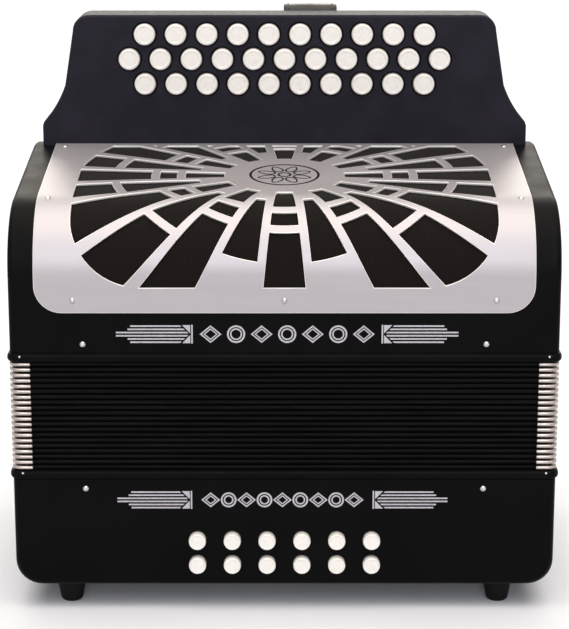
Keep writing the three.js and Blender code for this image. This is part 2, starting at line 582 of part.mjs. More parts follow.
function bassCasing() {
  const radius = BASS_BOTTOM_RADIUS;
  const corner = [0, 1, 2, 3].map((i) => (i * Math.PI) / 6);
  const right = corner.map((a) => [
    halfWidth - radius + radius * Math.sin(a),
    bassBottom + radius - radius * Math.cos(a),
  ]);
  const left = right.map(([x, z]) => [-x, z]).reverse();
  const front = [...right, [halfWidth, bassTop], [-halfWidth, bassTop], ...left];
  const upright = roundedRectangle(halfWidth, CASE_DEPTH / 2, CASE_EDGE_RADIUS, 2);
  let casing = prism("y", front, 0, CASE_DEPTH);
  casing = casing.intersect(prism("z", upright, bassBottom - OVERRUN, bassTop));
  const depth = [CASE_WALL, CASE_DEPTH - CASE_WALL];
  const floor = bassBottom + BASS_FLOOR;
  const board = bassBottom + BASS_BOARD_HEIGHT;
  const chamfer = radius - BASS_FLOOR;
  const roomOutline = [
    [innerHalfWidth - chamfer, floor],
    [innerHalfWidth, floor + chamfer],
    [innerHalfWidth, bassTop + OVERRUN],
    [-innerHalfWidth, bassTop + OVERRUN],
    [-innerHalfWidth, floor + chamfer],
    [-innerHalfWidth + chamfer, floor],
  ];
  casing = casing.subtract(prism("y", roomOutline, ...depth));
  const reach = [CASE_WALL - OVERRUN, CASE_DEPTH - CASE_WALL + OVERRUN];
  casing = casing.add(box([-innerHalfWidth - OVERRUN, ductX], reach, [board, board + REED_BOARD]));
  casing = casing.add(box([ductX - DUCT_WALL, ductX], reach, [floor - OVERRUN, board + OVERRUN]));
  const block = BASS_REED_BLOCK;
  const blockTop = board + REED_BOARD + block.rise;
  const blockMiddle = CASE_DEPTH / 2 + block.behindMiddle;
  const blockY = [blockMiddle - block.depth / 2, blockMiddle + block.depth / 2];
  casing = casing.add(box([-block.width / 2, block.width / 2], blockY, [board + OVERRUN, blockTop]));
  for (const place of bassButtonPlaces.slice(0, BASS_COLUMN_COUNT)) {
    const middle = (place.x / BASS_PITCH) * block.holePitch;
    const x = [middle - TONE_HOLE.width / 2, middle + TONE_HOLE.width / 2];
    const y = [blockMiddle - TONE_HOLE.length / 2, blockMiddle + TONE_HOLE.length / 2];
    casing = casing.subtract(box(x, y, [board - OVERRUN, board + TONE_HOLE.depth]));
  }
  const rows = Object.values(BASS_ROW_HEIGHTS);
  const railHalf = ((BASS_COLUMN_COUNT - 1) * BASS_PITCH) / 2 + GUIDE_RAIL.margin + BASS_STEM.side;
  const railTop = bassBottom + Math.max(...rows) + GUIDE_RAIL.margin;
  const railY = [GUIDE_RAIL.fromFront, GUIDE_RAIL.fromFront + GUIDE_RAIL.thickness];
  casing = casing.add(box([-railHalf, railHalf], railY, [floor - OVERRUN, railTop]));
  const bore = holeRadius(BASS_BUTTON.radius, BASS_BUTTON.holeGap, ROUND_SIDES);
  const stem = BASS_STEM.side / 2 + BASS_STEM.gap;
  for (const { x, z } of bassButtonPlaces) {
    casing = casing.subtract(rodAlong("y", bore, ROUND_SIDES, -OVERRUN, CASE_WALL + OVERRUN, [x, z]));
    casing = casing.subtract(box([x - stem, x + stem], [railY[0] - OVERRUN, railY[1] + OVERRUN], [z - stem, z + stem]));
  }
  const cover = [-coverHalf - SEAT_GAP, coverHalf + SEAT_GAP];
  const coverY = [COVER.fromEnds - SEAT_GAP, CASE_DEPTH - COVER.fromEnds + SEAT_GAP];
  casing = casing.subtract(box(cover, coverY, [bassBottom - OVERRUN, floor + OVERRUN]));
  return cutForAirValve(casing);
}

const airZ = bassBottom + AIR.height;

function cutForAirValve(casing) {
  const wall = [CASE_DEPTH - CASE_WALL - OVERRUN, CASE_DEPTH + OVERRUN];
  const half = AIR.stem / 2 + AIR.stemGap;
  let cut = casing.subtract(box([airX - half, airX + half], wall, [airZ - half, airZ + half]));
  for (const side of [-1, 1]) {
    const near = airX + side * AIR_VENT.fromStem;
    const far = near + side * AIR_VENT.width;
    const x = [Math.min(near, far), Math.max(near, far)];
    cut = cut.subtract(box(x, wall, [airZ - AIR_VENT.height / 2, airZ + AIR_VENT.height / 2]));
  }
  return cut;
}

function bassCover() {
  const y = [COVER.fromEnds, CASE_DEPTH - COVER.fromEnds];
  let cover = box([-coverHalf, coverHalf], y, [bassBottom, bassBottom + COVER.thickness]);
  const slotY = [y[0] + COVER.slotMargin, y[1] - COVER.slotMargin];
  for (let i = 0; i < COVER_SLOT_COUNT; i++) {
    const x = ((2 * (i + 1)) / (COVER_SLOT_COUNT + 1) - 1) * coverHalf;
    const slotX = [x - COVER.slotWidth / 2, x + COVER.slotWidth / 2];
    cover = cover.subtract(box(slotX, slotY, [bassBottom - OVERRUN, bassBottom + COVER.thickness + OVERRUN]));
  }
  return cover;
}

function bassButton({ x, z }) {
  const back = BASS_BUTTON.length - BASS_BUTTON.proud;
  const profile = [
    [0, -BASS_BUTTON.proud],
    [BASS_BUTTON.radius - BASS_BUTTON.edge, -BASS_BUTTON.proud],
    [BASS_BUTTON.radius, -BASS_BUTTON.proud + BASS_BUTTON.edge],
    [BASS_BUTTON.radius, back],
    [0, back],
  ];
  const half = BASS_STEM.side / 2;
  const stem = box([x - half, x + half], [back - OVERRUN, back + BASS_STEM.length], [z - half, z + half]);
  return turnedAlongY(profile, ROUND_SIDES, x, z).add(stem);
}

function airButton() {
  const front = CASE_DEPTH + AIR.proud + AIR_CAP_GAP;
  const profile = [
    [0, CASE_DEPTH + AIR_CAP_GAP],
    [AIR.radius, CASE_DEPTH + AIR_CAP_GAP],
    [AIR.radius, front - AIR.edge],
    [AIR.radius - AIR.edge, front],
    [0, front],
  ];
  const half = AIR.stem / 2;
  const discBack = CASE_DEPTH - CASE_WALL - SEAT_GAP;
  const x = airX;
  const stem = box([x - half, x + half], [discBack - OVERRUN, front - AIR.edge], [airZ - half, airZ + half]);
  const side = AIR_DISC.side / 2;
  const discY = [discBack - AIR_DISC.thickness, discBack];
  const disc = box([x - side, x + side], discY, [airZ - side, airZ + side]);
  return joined([turnedAlongY(profile, ROUND_SIDES, x, airZ), stem, disc]);
}

function foot(x, y) {
  const top = FOOT.height - SEAT_GAP;
  const points = [[0, 0], [FOOT.footRadius - FOOT.edge, 0], [FOOT.footRadius, FOOT.edge], [FOOT.topRadius, top], [0, top]];
  const geometry = new THREE.LatheGeometry(points.map((p) => new THREE.Vector2(...p)), ROUND_SIDES);
  geometry.rotateX(Math.PI / 2);
  geometry.translate(x, y, 0);
  return solidOf(geometry);
}

// Bellows and frames

function bellows() {
  const from = foldsBottom + SEAT_GAP;
  const to = foldsTop - SEAT_GAP;
  const bore = -FOLD_DEPTH - FOLD_WALL;
  const pitch = (to - from) / FOLD_COUNT;
  const section = [[bore, from], [-FOLD_WALL, from]];
  for (let i = 0; i < FOLD_COUNT; i++) {
    section.push([0, from + (i + 1 / 2) * pitch]);
    if (i + 1 < FOLD_COUNT) section.push([-FOLD_DEPTH, from + (i + 1) * pitch]);
  }
  section.push([-FOLD_WALL, to], [bore, to]);
  return sweptRound(section, FOLD_INSET, FOLD_CORNER_RADIUS, 1);
}

// A frame seen in section: a rim inside the casing, and a beaded band that shows below it.
// edge is the level of the casing's open end, and up is 1 for the treble casing and -1 for the bass.
function bellowsFrame(edge, up) {
  const rimOut = -CASE_WALL - SEAT_GAP;
  const rimIn = rimOut - FRAME_RIM.thickness;
  const seat = SEAT_GAP;
  const beadLow = (FRAME_BAND + BEAD.height) / 2;
  const beadHigh = (FRAME_BAND - BEAD.height) / 2;
  const levels = [
    [rimIn, -FRAME_BAND],
    [0, -FRAME_BAND],
    [BEAD.bulge, -beadLow + BEAD.bulge],
    [BEAD.bulge, -beadHigh - BEAD.bulge],
    [0, -seat],
    [rimOut, -seat],
    [rimOut, FRAME_RIM.rise],
    [rimIn, FRAME_RIM.rise],
  ];
  const section = levels.map(([offset, rise]) => [offset, edge + up * rise]);
  return sweptRound(up > 0 ? section : section.reverse(), 0, CASE_EDGE_RADIUS, 2);
}

// Straps

function handStrap() {
  const half = airX - AIR.radius - HAND_STRAP.fromAirButton;
  const back = CASE_DEPTH + SEAT_GAP;
  const archHalf = half - HAND_STRAP.tab;
  const rise = HAND_STRAP.rise - HAND_STRAP.thickness - SEAT_GAP;
  const arch = [];
  for (let i = 0; i <= STRAP_STEPS; i++) {
    const angle = Math.PI * (1 - i / STRAP_STEPS);
    arch.push([archHalf * Math.cos(angle), back + (rise * (1 - Math.cos(2 * angle))) / 2]);
  }
  const outer = arch.map(([x, y]) => [x, y + HAND_STRAP.thickness]).reverse();
  const outline = [
    [-half, back], ...arch, [half, back],
    [half, back + HAND_STRAP.thickness], ...outer, [-half, back + HAND_STRAP.thickness],
  ];
  const z = bassBottom + HAND_STRAP.height;
  return prism("z", outline, z - HAND_STRAP.width / 2, z + HAND_STRAP.width / 2);
}

// Thumb strap: a loop of leather, closed against the back of the fingerboard
function thumbStrap() {
  const top = boardTop + THUMB_STRAP.above;
  const bottom = top - THUMB_STRAP.height;
  const loop = (inset) => {
    const radius = THUMB_STRAP.corner - inset;
    const front = boardBack + SEAT_GAP + inset;
    const back = boardBack + THUMB_STRAP.rise - inset;
    const points = [[front, bottom + inset]];
    for (const share of [0, 1 / 3, 2 / 3, 1]) {
      const angle = (share - 1) * (Math.PI / 2);
      points.push([back - radius + radius * Math.cos(angle), bottom + inset + radius + radius * Math.sin(angle)]);
    }
    for (const share of [0, 1 / 3, 2 / 3, 1]) {
      const angle = share * (Math.PI / 2);
      points.push([back - radius + radius * Math.cos(angle), top - inset - radius + radius * Math.sin(angle)]);
    }
    points.push([front, top - inset]);
    return points;
  };
  const x = [THUMB_STRAP.middle - THUMB_STRAP.width / 2, THUMB_STRAP.middle + THUMB_STRAP.width / 2];
  const hole = prism("x", loop(THUMB_STRAP.thickness), x[0] - OVERRUN, x[1] + OVERRUN);
  return prism("x", loop(0), ...x).subtract(hole);
}

// Materials

function finish(color, roughness, metalness) {
  return new THREE.MeshStandardMaterial({ color, roughness, metalness });
}

const materials = {
  lacquer: finish(0x0d0c0e, 0.28, 0),
  satin: finish(0x1d1c22, 0.5, 0),
  aluminium: finish(0xc9c6c4, 0.32, 0.9),
  gauze: finish(0x0a0a0a, 0.9, 0),
  pearl: finish(0xeee7de, 0.25, 0),
  steel: finish(0xb4b4b8, 0.3, 1),
  bellows: finish(0x121213, 0.6, 0),
  leather: finish(0x161412, 0.6, 0),
  rubber: finish(0x0b0b0b, 0.8, 0),
};

// The assembly

const instrument = new THREE.Group();
instrument.position.y = -depthMiddle;

function place(name, solid, material) {
  const mesh = new THREE.Mesh(geometryOf(solid), material);
  mesh.name = name;
  instrument.add(mesh);
}

place("bass_casing", bassCasing(), materials.lacquer);
place("bass_cover", bassCover(), materials.satin);
for (const [side, x] of [["left", -1], ["right", 1]]) {
  const footX = x * (halfWidth - FOOT.fromSide);
  place(`foot_front_${side}`, foot(footX, FOOT.fromFront), materials.rubber);
  place(`foot_rear_${side}`, foot(footX, CASE_DEPTH - FOOT.fromFront), materials.rubber);
}
for (const button of bassButtonPlaces) place(button.name, bassButton(button), materials.pearl);
place("air_button", airButton(), materials.pearl);
place("hand_strap", handStrap(), materials.leather);
place("bellows_frame_bass", bellowsFrame(bassTop, -1), materials.lacquer);
place("bellows", bellows(), materials.bellows);
place("bellows_frame_treble", bellowsFrame(trebleBottom, 1), materials.lacquer);
place("treble_casing", trebleCasing(), materials.lacquer);
place("fingerboard", fingerboard(), materials.satin);
place("grille", grille(), materials.aluminium);
place("grille_gauze", grilleGauze(), materials.gauze);
place("treble_axle", trebleAxle(), materials.steel);
for (const key of trebleKeyPlaces) place(key.name, trebleKey(key), materials.pearl);
place("thumb_strap", thumbStrap(), materials.leather);

export default instrument;
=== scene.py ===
"""The looks of a three-row diatonic accordion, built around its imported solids.

Lengths in this file are millimetres in the instrument's own axes: X along the rows of buttons,
Y back from the front of the casings and Z up from the floor. add() turns a mesh into metres and
moves it to the frame's origin.
"""

import math

import bmesh
import bpy
from mathutils import Matrix, Vector, noise


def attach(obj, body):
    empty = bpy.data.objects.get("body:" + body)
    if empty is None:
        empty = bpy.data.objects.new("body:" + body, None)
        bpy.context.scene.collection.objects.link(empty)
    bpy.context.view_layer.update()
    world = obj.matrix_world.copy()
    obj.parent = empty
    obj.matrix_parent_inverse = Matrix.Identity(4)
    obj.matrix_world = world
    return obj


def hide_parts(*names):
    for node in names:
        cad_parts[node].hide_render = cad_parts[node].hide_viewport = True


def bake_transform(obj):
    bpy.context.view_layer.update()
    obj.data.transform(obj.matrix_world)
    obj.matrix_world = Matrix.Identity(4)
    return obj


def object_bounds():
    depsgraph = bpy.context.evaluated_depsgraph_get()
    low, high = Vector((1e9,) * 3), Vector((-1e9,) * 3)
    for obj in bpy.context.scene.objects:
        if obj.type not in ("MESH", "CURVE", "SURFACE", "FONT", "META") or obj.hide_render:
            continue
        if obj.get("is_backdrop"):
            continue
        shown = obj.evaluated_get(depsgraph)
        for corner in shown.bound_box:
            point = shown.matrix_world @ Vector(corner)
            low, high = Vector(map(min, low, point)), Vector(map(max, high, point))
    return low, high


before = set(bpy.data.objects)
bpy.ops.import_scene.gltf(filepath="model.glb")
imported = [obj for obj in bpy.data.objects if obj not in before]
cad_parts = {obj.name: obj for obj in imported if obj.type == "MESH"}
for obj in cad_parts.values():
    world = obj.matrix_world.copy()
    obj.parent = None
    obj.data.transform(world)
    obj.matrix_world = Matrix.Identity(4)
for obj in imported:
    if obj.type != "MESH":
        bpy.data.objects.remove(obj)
cad_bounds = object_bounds()
scene = bpy.context.scene

# Sizes shared with the solids
HALF_WIDTH = 155.0
DEPTH = 185.0
WALL = 7.0
DEPTH_MIDDLE = 110.5
BASS_BOTTOM = 16.0
BASS_TOP = 78.5
TREBLE_BOTTOM = 153.3
FOLD_COUNT = 20
FRONT_RISE = 43.3
BEND_RADIUS = 40.0
SLOPE = math.radians(7.5)
BEND_ANGLE = math.pi / 2 - SLOPE
BEND_LENGTH = BEND_RADIUS * BEND_ANGLE
BEND_STOP = FRONT_RISE + BEND_LENGTH
BEND_START_Z = TREBLE_BOTTOM + FRONT_RISE
BEND_END_Y = BEND_RADIUS * (1 - math.cos(BEND_ANGLE))
BEND_END_Z = BEND_START_Z + BEND_RADIUS * math.sin(BEND_ANGLE)
BOARD_FRONT = 137.3
BOARD_FACE = BOARD_FRONT - 2.2
BOARD_BACK = BOARD_FRONT + 30.0
AXLE_Y = 145.0
BUTTON_PITCH = 18.86
BASS_PITCH = 20.0
SHEET = 1.5
SEAT = 0.3


def top_z(y):
    """The level of the treble casing's sloping top at a depth."""
    return BEND_END_Z + (y - BEND_END_Y) * math.tan(SLOPE)


def skin(t, out=0.0):
    """The place (y, z) at a length t along the treble casing's front, bend and top."""
    if t <= FRONT_RISE:
        return -out, TREBLE_BOTTOM + t
    if t <= BEND_STOP:
        angle = (t - FRONT_RISE) / BEND_RADIUS
        radius = BEND_RADIUS + out
        return BEND_RADIUS - radius * math.cos(angle), BEND_START_Z + radius * math.sin(angle)
    along = t - FRONT_RISE - BEND_LENGTH
    y = BEND_END_Y + along * math.cos(SLOPE) - out * math.sin(SLOPE)
    return y, BEND_END_Z + along * math.sin(SLOPE) + out * math.cos(SLOPE)


BOARD_BOTTOM = top_z(BOARD_FRONT)
BOARD_TOP = BOARD_BOTTOM + 79.3
AXLE_Z = BOARD_BOTTOM - 13.8
GRILLE_SILL = 23.2
GRILLE_HALF = 140.2
GRILLE_LENGTH = BEND_STOP + (BOARD_FACE - SEAT - BEND_END_Y) / math.cos(SLOPE) - GRILLE_SILL


# Materials


class Nodes:
    """Short ways to build a node tree."""

    def __init__(self, tree):
        self.tree = tree

    def add(self, kind, **values):
        node = self.tree.nodes.new(kind)
        for key, value in values.items():
            if key in node.inputs:
                node.inputs[key].default_value = value
            else:
                setattr(node, key, value)
        return node

    def link(self, out, into):
        self.tree.links.new(out, into)

    def ramp(self, factor, stops):
        node = self.add("ShaderNodeValToRGB")
        elements = node.color_ramp.elements
        while len(elements) < len(stops):
            elements.new(0.5)
        for element, (position, color) in zip(elements, stops):
            element.position = position
            element.color = (*color, 1.0)
        self.link(factor, node.inputs["Fac"])
        return node.outputs["Color"]

    def math(self, operation, a, b):
        node = self.add("ShaderNodeMath", operation=operation)
        self.link(a, node.inputs[0])
        self.link(b, node.inputs[1])
        return node.outputs["Value"]

    def seen_and_lighting(self, seen, lighting):
        """One shader for camera, glossy and transmission rays, and another for light on other things."""
        rays = self.add("ShaderNodeLightPath").outputs
        direct = self.math("MAXIMUM", rays["Is Camera Ray"], rays["Is Glossy Ray"])
        switch = self.add("ShaderNodeMixShader")
        self.link(self.math("MAXIMUM", direct, rays["Is Transmission Ray"]), switch.inputs["Fac"])
        self.link(lighting, switch.inputs[1])
        self.link(seen, switch.inputs[2])
        return switch.outputs["Shader"]


class Surface(Nodes):
    """A material and its shader. A shade of it is a share of its own colour, or another colour."""

    def __init__(self, name, color, roughness, metallic=0.0, **inputs):
        self.material = bpy.data.materials.new(name)
        self.material.use_nodes = True
        self.material.diffuse_color = (*color, 1.0)
        super().__init__(self.material.node_tree)
        self.own = color
        self.shader = self.tree.nodes["Principled BSDF"]
        values = {"Base Color": (*color, 1.0), "Roughness": roughness, "Metallic": metallic, **inputs}
        for key, value in values.items():
            self.shader.inputs[key.replace("_", " ")].default_value = value

    def texture(self, kind, stretch=(1, 1, 1), **values):
        """A texture node in the object's own space."""
        mapping = self.add("ShaderNodeMapping", Scale=stretch)
        self.link(self.add("ShaderNodeTexCoord").outputs["Object"], mapping.inputs["Vector"])
        node = self.add(kind, **values)
        self.link(mapping.outputs["Vector"], node.inputs["Vector"])
        return node

    def noise(self, scale, detail, stretch=(1, 1, 1), roughness=0.5):
        values = {"Scale": scale, "Detail": detail, "Roughness": roughness}
        return self.texture("ShaderNodeTexNoise", stretch, **values).outputs["Fac"]

    def span(self, factor, low, high, start=0.0, stop=1.0):
        values = {"From Min": start, "From Max": stop, "To Min": low, "To Max": high}
        node = self.add("ShaderNodeMapRange", **values)
        self.link(factor, node.inputs["Value"])
        return node.outputs["Result"]

    def shade(self, factor, *stops):
        """Colours the surface from stops of (position, shade)."""
        stops = [(at, s if isinstance(s, tuple) else tuple(c * s for c in self.own)) for at, s in stops]
        self.link(self.ramp(factor, stops), self.shader.inputs["Base Color"])

    def rough(self, factor, *limits):
        self.link(self.span(factor, *limits), self.shader.inputs["Roughness"])

    def bump(self, height, strength, distance):
        node = self.add("ShaderNodeBump", Strength=strength, Distance=distance)
        self.link(height, node.inputs["Height"])
        self.link(node.outputs["Normal"], self.shader.inputs["Normal"])


MIDDLE = (0.3, 0.7)


def surface(name, color, roughness, tint=None, gloss=None, relief=None, metallic=0.0, **inputs):
    """A material from up to three noises, each given as its scale and detail and what it drives:
    tint as two stops of (position, shade), gloss as the limits of roughness and the part of the
    noise that spans them, and relief as the strength and depth of a bump."""
    m = Surface(name, color, roughness, metallic, **inputs)
    for drive, values in ((m.shade, tint), (m.rough, gloss), (m.bump, relief)):
        if values:
            drive(m.noise(*values[:2]), *values[2:])
    return m.material


def brushed_metal():
    """Aluminium sheet brushed along the rows of buttons."""
    m = Surface("brushed_aluminium", (0.438, 0.412, 0.431), 0.44, 0.48)
    both = m.math("ADD", m.noise(260, 4, (0.06, 1, 1), 0.6), m.noise(1500, 2, (0.04, 1, 1), 0.6))
    m.shade(m.span(both, 0, 1, 0.6, 1.4), (0.2, 0.97), (0.8, 1.02))
    m.rough(both, 0.41, 0.48, 0.7, 1.3)
    m.bump(both, 0.02, 0.00004)
    return m.material


def gauze():
    """Close-woven black cloth with its stronger threads upright."""
    sheen = {"Specular_IOR_Level": 0.1, "Sheen_Weight": 0.05, "Sheen_Roughness": 0.5}
    m = Surface("grille_gauze", (0.0075, 0.006, 0.0055), 0.85, **sheen)
    upright = m.texture("ShaderNodeTexWave", Scale=330.0, Distortion=0.6, Detail=1.0, bands_direction="X")
    weave = m.math("ADD", upright.outputs["Fac"], m.span(m.noise(1400, 2, (1, 0.5, 0.5)), 0, 0.6))
    m.shade(m.span(weave, 0, 1, 0, 1.6), (0.25, (0.0028, 0.0019, 0.0017)), (0.9, (0.014, 0.0096, 0.0088)))
    m.bump(weave, 0.5, 0.0003)
    return m.material


def pearl():
    """Ivory white with the faint clouds of mother-of-pearl plastic."""
    m = Surface(
        "pearl_white", (0.95, 0.915, 0.855), 0.24,
        Coat_Weight=0.25, Coat_Roughness=0.06, Subsurface_Weight=0.08, Subsurface_Scale=0.002,
    )
    cloud = m.texture("ShaderNodeTexNoise", (1, 1, 1.4), Scale=170.0, Detail=3.0, Distortion=1.8)
    m.shade(cloud.outputs["Fac"], (0.25, (0.88, 0.84, 0.78)), (0.5, m.own), (0.8, (0.94, 0.91, 0.87)))
    m.rough(m.noise(300, 2), 0.16, 0.28)
    return m.material


def plated(name, color, roughness):
    """Plated metal with a little tarnish and fine handling marks."""
    tint = (190, 5, (0.3, 0.82), (0.65, 1.06))
    gloss = (520, 4, roughness * 0.75, roughness * 1.5, *MIDDLE)
    return surface(name, color, roughness, tint, gloss, (700, 3, 0.06, 0.0001), 1.0)


def bellows_cloth():
    """Black bookcloth: a fine plain weave, a little greyer in faint random streaks along the folds."""
    sheen = {"Specular_IOR_Level": 0.05, "Sheen_Weight": 0.01, "Sheen_Roughness": 0.4}
    m = Surface("bellows_cloth", (0.0027, 0.0027, 0.003), 0.5, **sheen)
    wave = {"Scale": 900.0, "Distortion": 1.2}
    threads = [m.texture("ShaderNodeTexWave", bands_direction=way, **wave).outputs["Fac"] for way in "XZ"]
    m.shade(m.noise(70, 6, (0.3, 0.3, 3.0)), (0.3, 0.65), (0.75, 1.7))
    m.rough(m.noise(240, 4), 0.42, 0.62, *MIDDLE)
    m.bump(m.math("MULTIPLY", *threads), 0.25, 0.00012)
    return m.material


def leather(name, color, roughness=0.46):
    """Grained strap leather with pores, creases and slightly worn high spots."""
    m = Surface(name, color, roughness, Specular_IOR_Level=0.4)
    grain = m.texture("ShaderNodeTexVoronoi", Scale=620.0, feature="SMOOTH_F1")
    cells = m.span(grain.outputs["Distance"], 0, 1, 0, 0.7)
    m.shade(m.math("ADD", m.noise(90, 5), m.span(cells, -0.1, 0.12)), (0.35, 0.65), (0.8, 1.8))
    m.rough(m.noise(150, 4), roughness - 0.08, roughness + 0.12, *MIDDLE)
    m.bump(m.math("ADD", cells, m.noise(260, 4)), 0.35, 0.0003)
    return m.material


def wood(name, color):
    """Fine-grained timber, with its grain along the rows of buttons."""
    m = Surface(name, color, 0.55)
    rings = m.noise(90, 6, (0.06, 1, 1), 0.65)
    m.shade(rings, (0.35, 0.62), (0.62, 1.15))
    m.rough(rings, 0.45, 0.65)
    m.bump(rings, 0.15, 0.0003)
    return m.material


def felt(name, color):
    tint = (700, 6, (0.35, 0.6), (0.65, 1.25))
    fluff = {"Sheen_Weight": 0.4, "Sheen_Roughness": 0.6, "Specular_IOR_Level": 0.1}
    return surface(name, color, 0.95, tint, None, (1600, 5, 0.6, 0.0003), **fluff)


# Lacquer rubbed to a satin, with faint orange peel and a little unevenness of gloss
LACQUER = surface(
    "black_lacquer", (0.0021, 0.002, 0.0022), 0.44, (26, 4, (0.3, 0.7), (0.75, 1.5)),
    (60, 5, 0.39, 0.51, *MIDDLE), (420, 2, 0.12, 0.0002),
    Specular_IOR_Level=0.05, Sheen_Weight=0.03, Sheen_Roughness=0.35,
)
# The fingerboard's finely pebbled satin black, a little bluer than the casings
BOARD_FINISH = surface(
    "satin_board", (0.0122, 0.0106, 0.0178), 0.56, (40, 5, (0.3, 0.8), (0.7, 1.3)),
    (300, 3, 0.5, 0.64, *MIDDLE), (1500, 2, 0.25, 0.00012), Specular_IOR_Level=0.13,
)
METAL = brushed_metal()
# The bright milled edges of the sheet: bare metal, with a painted highlight in their near-white colour
CUT_METAL_AND_HIGHLIGHT = surface("cut_aluminium_and_painted_highlight", (0.9, 0.88, 0.84), 0.36, None, (60, 3, 0.34, 0.4, *MIDDLE), None, 0.35)
GAUZE = gauze()
PEARL = pearl()
NICKEL = plated("nickel", (0.6, 0.56, 0.54), 0.24)
CLIP_METAL = plated("clip_metal", (0.45, 0.405, 0.385), 0.32)
STEEL = plated("steel", (0.5, 0.5, 0.51), 0.3)
# Painted shade: the screws' cross recesses are coloured near black, as a shadowed hollow looks
RECESS_PAINTED_SHADE = plated("screw_recess_painted_shade", (0.06, 0.055, 0.05), 0.6)
BRASS = plated("brass", (0.62, 0.45, 0.2), 0.3)
LEVER_METAL = plated("lever_aluminium", (0.6, 0.6, 0.61), 0.38)
CLOTH = bellows_cloth()
LEATHER = leather("strap_leather", (0.012, 0.0105, 0.0095))
LINING = leather("strap_lining", (0.03, 0.024, 0.019), 0.75)
THREAD = felt("strap_thread", (0.05, 0.048, 0.046))
RUBBER = surface(
    "foot_rubber", (0.004, 0.004, 0.004), 0.7,
    (160, 4, (0.3, (0.0025, 0.0025, 0.0025)), (0.7, (0.006, 0.0058, 0.0056))),
    (500, 3, 0.62, 0.8), (900, 2, 0.2, 0.0002), Specular_IOR_Level=0.15,
)
SPRUCE = wood("reed_board_wood", (0.52, 0.36, 0.2))
MAPLE = wood("pallet_wood", (0.6, 0.45, 0.28))
FELT = felt("pallet_felt", (0.2, 0.02, 0.02))
PRINT = surface(
    "silver_print", (0.5, 0.48, 0.52), 0.42, (700, 4, (0.3, (0.44, 0.42, 0.46)), (0.7, (0.56, 0.54, 0.58))),
    (800, 3, 0.36, 0.5), None, 0.35, Specular_IOR_Level=0.4,
)


# Meshes


def linked(name, data):
    obj = bpy.data.objects.new(name, data)
    scene.collection.objects.link(obj)
    return obj


def settled(obj):
    """The mesh of an object with its modifiers applied; the object itself goes."""
    bpy.context.view_layer.update()
    mesh = bpy.data.meshes.new_from_object(obj.evaluated_get(bpy.context.evaluated_depsgraph_get()))
    bpy.data.objects.remove(obj)
    return mesh


def smoothed(mesh, angle=32):
    """Rounds the shading of every edge that turns less than the angle."""
    mesh.polygons.foreach_set("use_smooth", [True] * len(mesh.polygons))
    mesh.set_sharp_from_angle(angle=math.radians(angle))
    return mesh


def hardened(mesh):
    """Keeps large faces flat in their shading, so that only the rounded edges turn."""
    obj = linked("shading", smoothed(mesh))
    modifier = obj.modifiers.new("normals", "WEIGHTED_NORMAL")
    modifier.keep_sharp = True
    modifier.weight = 80
    return settled(obj)


def to_mesh(bm, materials, angle=32):
    bmesh.ops.recalc_face_normals(bm, faces=bm.faces)
    mesh = bpy.data.meshes.new("mesh")
    bm.to_mesh(mesh)
    bm.free()
    for material in materials:
        mesh.materials.append(material)
    return smoothed(mesh, angle)


def add(name, mesh, body, replaced=()):
    """Puts a finished mesh in the scene as a piece that moves with a body."""
    mesh.transform(Matrix.Scale(0.001, 4) @ Matrix.Translation((0, -DEPTH_MIDDLE, 0)))
    mesh.name = name
    obj = linked(name, mesh)
    if body:
        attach(obj, body)
    if replaced:
        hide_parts(*replaced)
    return obj


def around(value, half):
    return value - half, value + half


def mirrored(right):
    """An outline from its right-hand half."""
    return right + [(-x, y) for x, y in reversed(right)]


def arc(center, radius, start, stop, steps):
    """Points on an arc, in degrees."""
    turns = [math.radians(start + (stop - start) * i / steps) for i in range(steps + 1)]
    return [(center[0] + radius * math.cos(turn), center[1] + radius * math.sin(turn)) for turn in turns]


def circle_turns(count):
    return [2 * math.pi * i / count for i in range(count)]


def on_axis(axis, a, b, level):
    """A point at a level along an axis: its other two places are (y, z), (x, z) or (x, y)."""
    return {"x": (level, a, b), "y": (a, level, b), "z": (a, b, level)}[axis]


def loft(bm, rings, closed=False, index=0):
    """Joins rings of points with quads; an open loft gets a face at each end."""
    made = [[bm.verts.new(point) for point in ring] for ring in rings]
    pairs = list(zip(made, made[1:]))
    faces = []
    if closed:
        pairs.append((made[-1], made[0]))
    else:
        faces = [made[0][::-1], made[-1]]
    for a, b in pairs:
        for i in range(len(a)):
            j = (i + 1) % len(a)
            faces.append((a[i], a[j], b[j], b[i]))
    for corners in faces:
        bm.faces.new(corners).material_index = index


def prism(bm, axis, outline, low, high):
    """Extrudes an outline of (y, z) points along x, (x, z) along y or (x, y) along z."""
    loft(bm, [[on_axis(axis, a, b, level) for a, b in outline] for level in (low, high)])


def band(bm, axis, first, second, low, high):
    """A flat closed band between two outlines of as many points."""
    edges = ((first, low), (first, high), (second, high), (second, low))
    loft(bm, [[on_axis(axis, a, b, level) for a, b in loop] for loop, level in edges], closed=True)


def eased(bm, axis, outline, low, high, radius, index=0, steps=1):
    """A prism whose edges are all rounded."""
    made = bmesh.new()
    prism(made, axis, outline, low, high)
    if radius:
        bmesh.ops.bevel(made, geom=made.edges[:], offset=radius, segments=steps, profile=0.5, affect="EDGES")
    for face in made.faces:
        face.material_index = index
    mesh = bpy.data.meshes.new("part")
    made.to_mesh(mesh)
    made.free()
    bm.from_mesh(mesh)
    bpy.data.meshes.remove(mesh)


def block(bm, x, y, z, radius=0.0, index=0, steps=2):
    """A box with rounded edges."""
    corners = [(x[0], y[0]), (x[1], y[0]), (x[1], y[1]), (x[0], y[1])]
    eased(bm, "z", corners, *z, radius, index, steps)


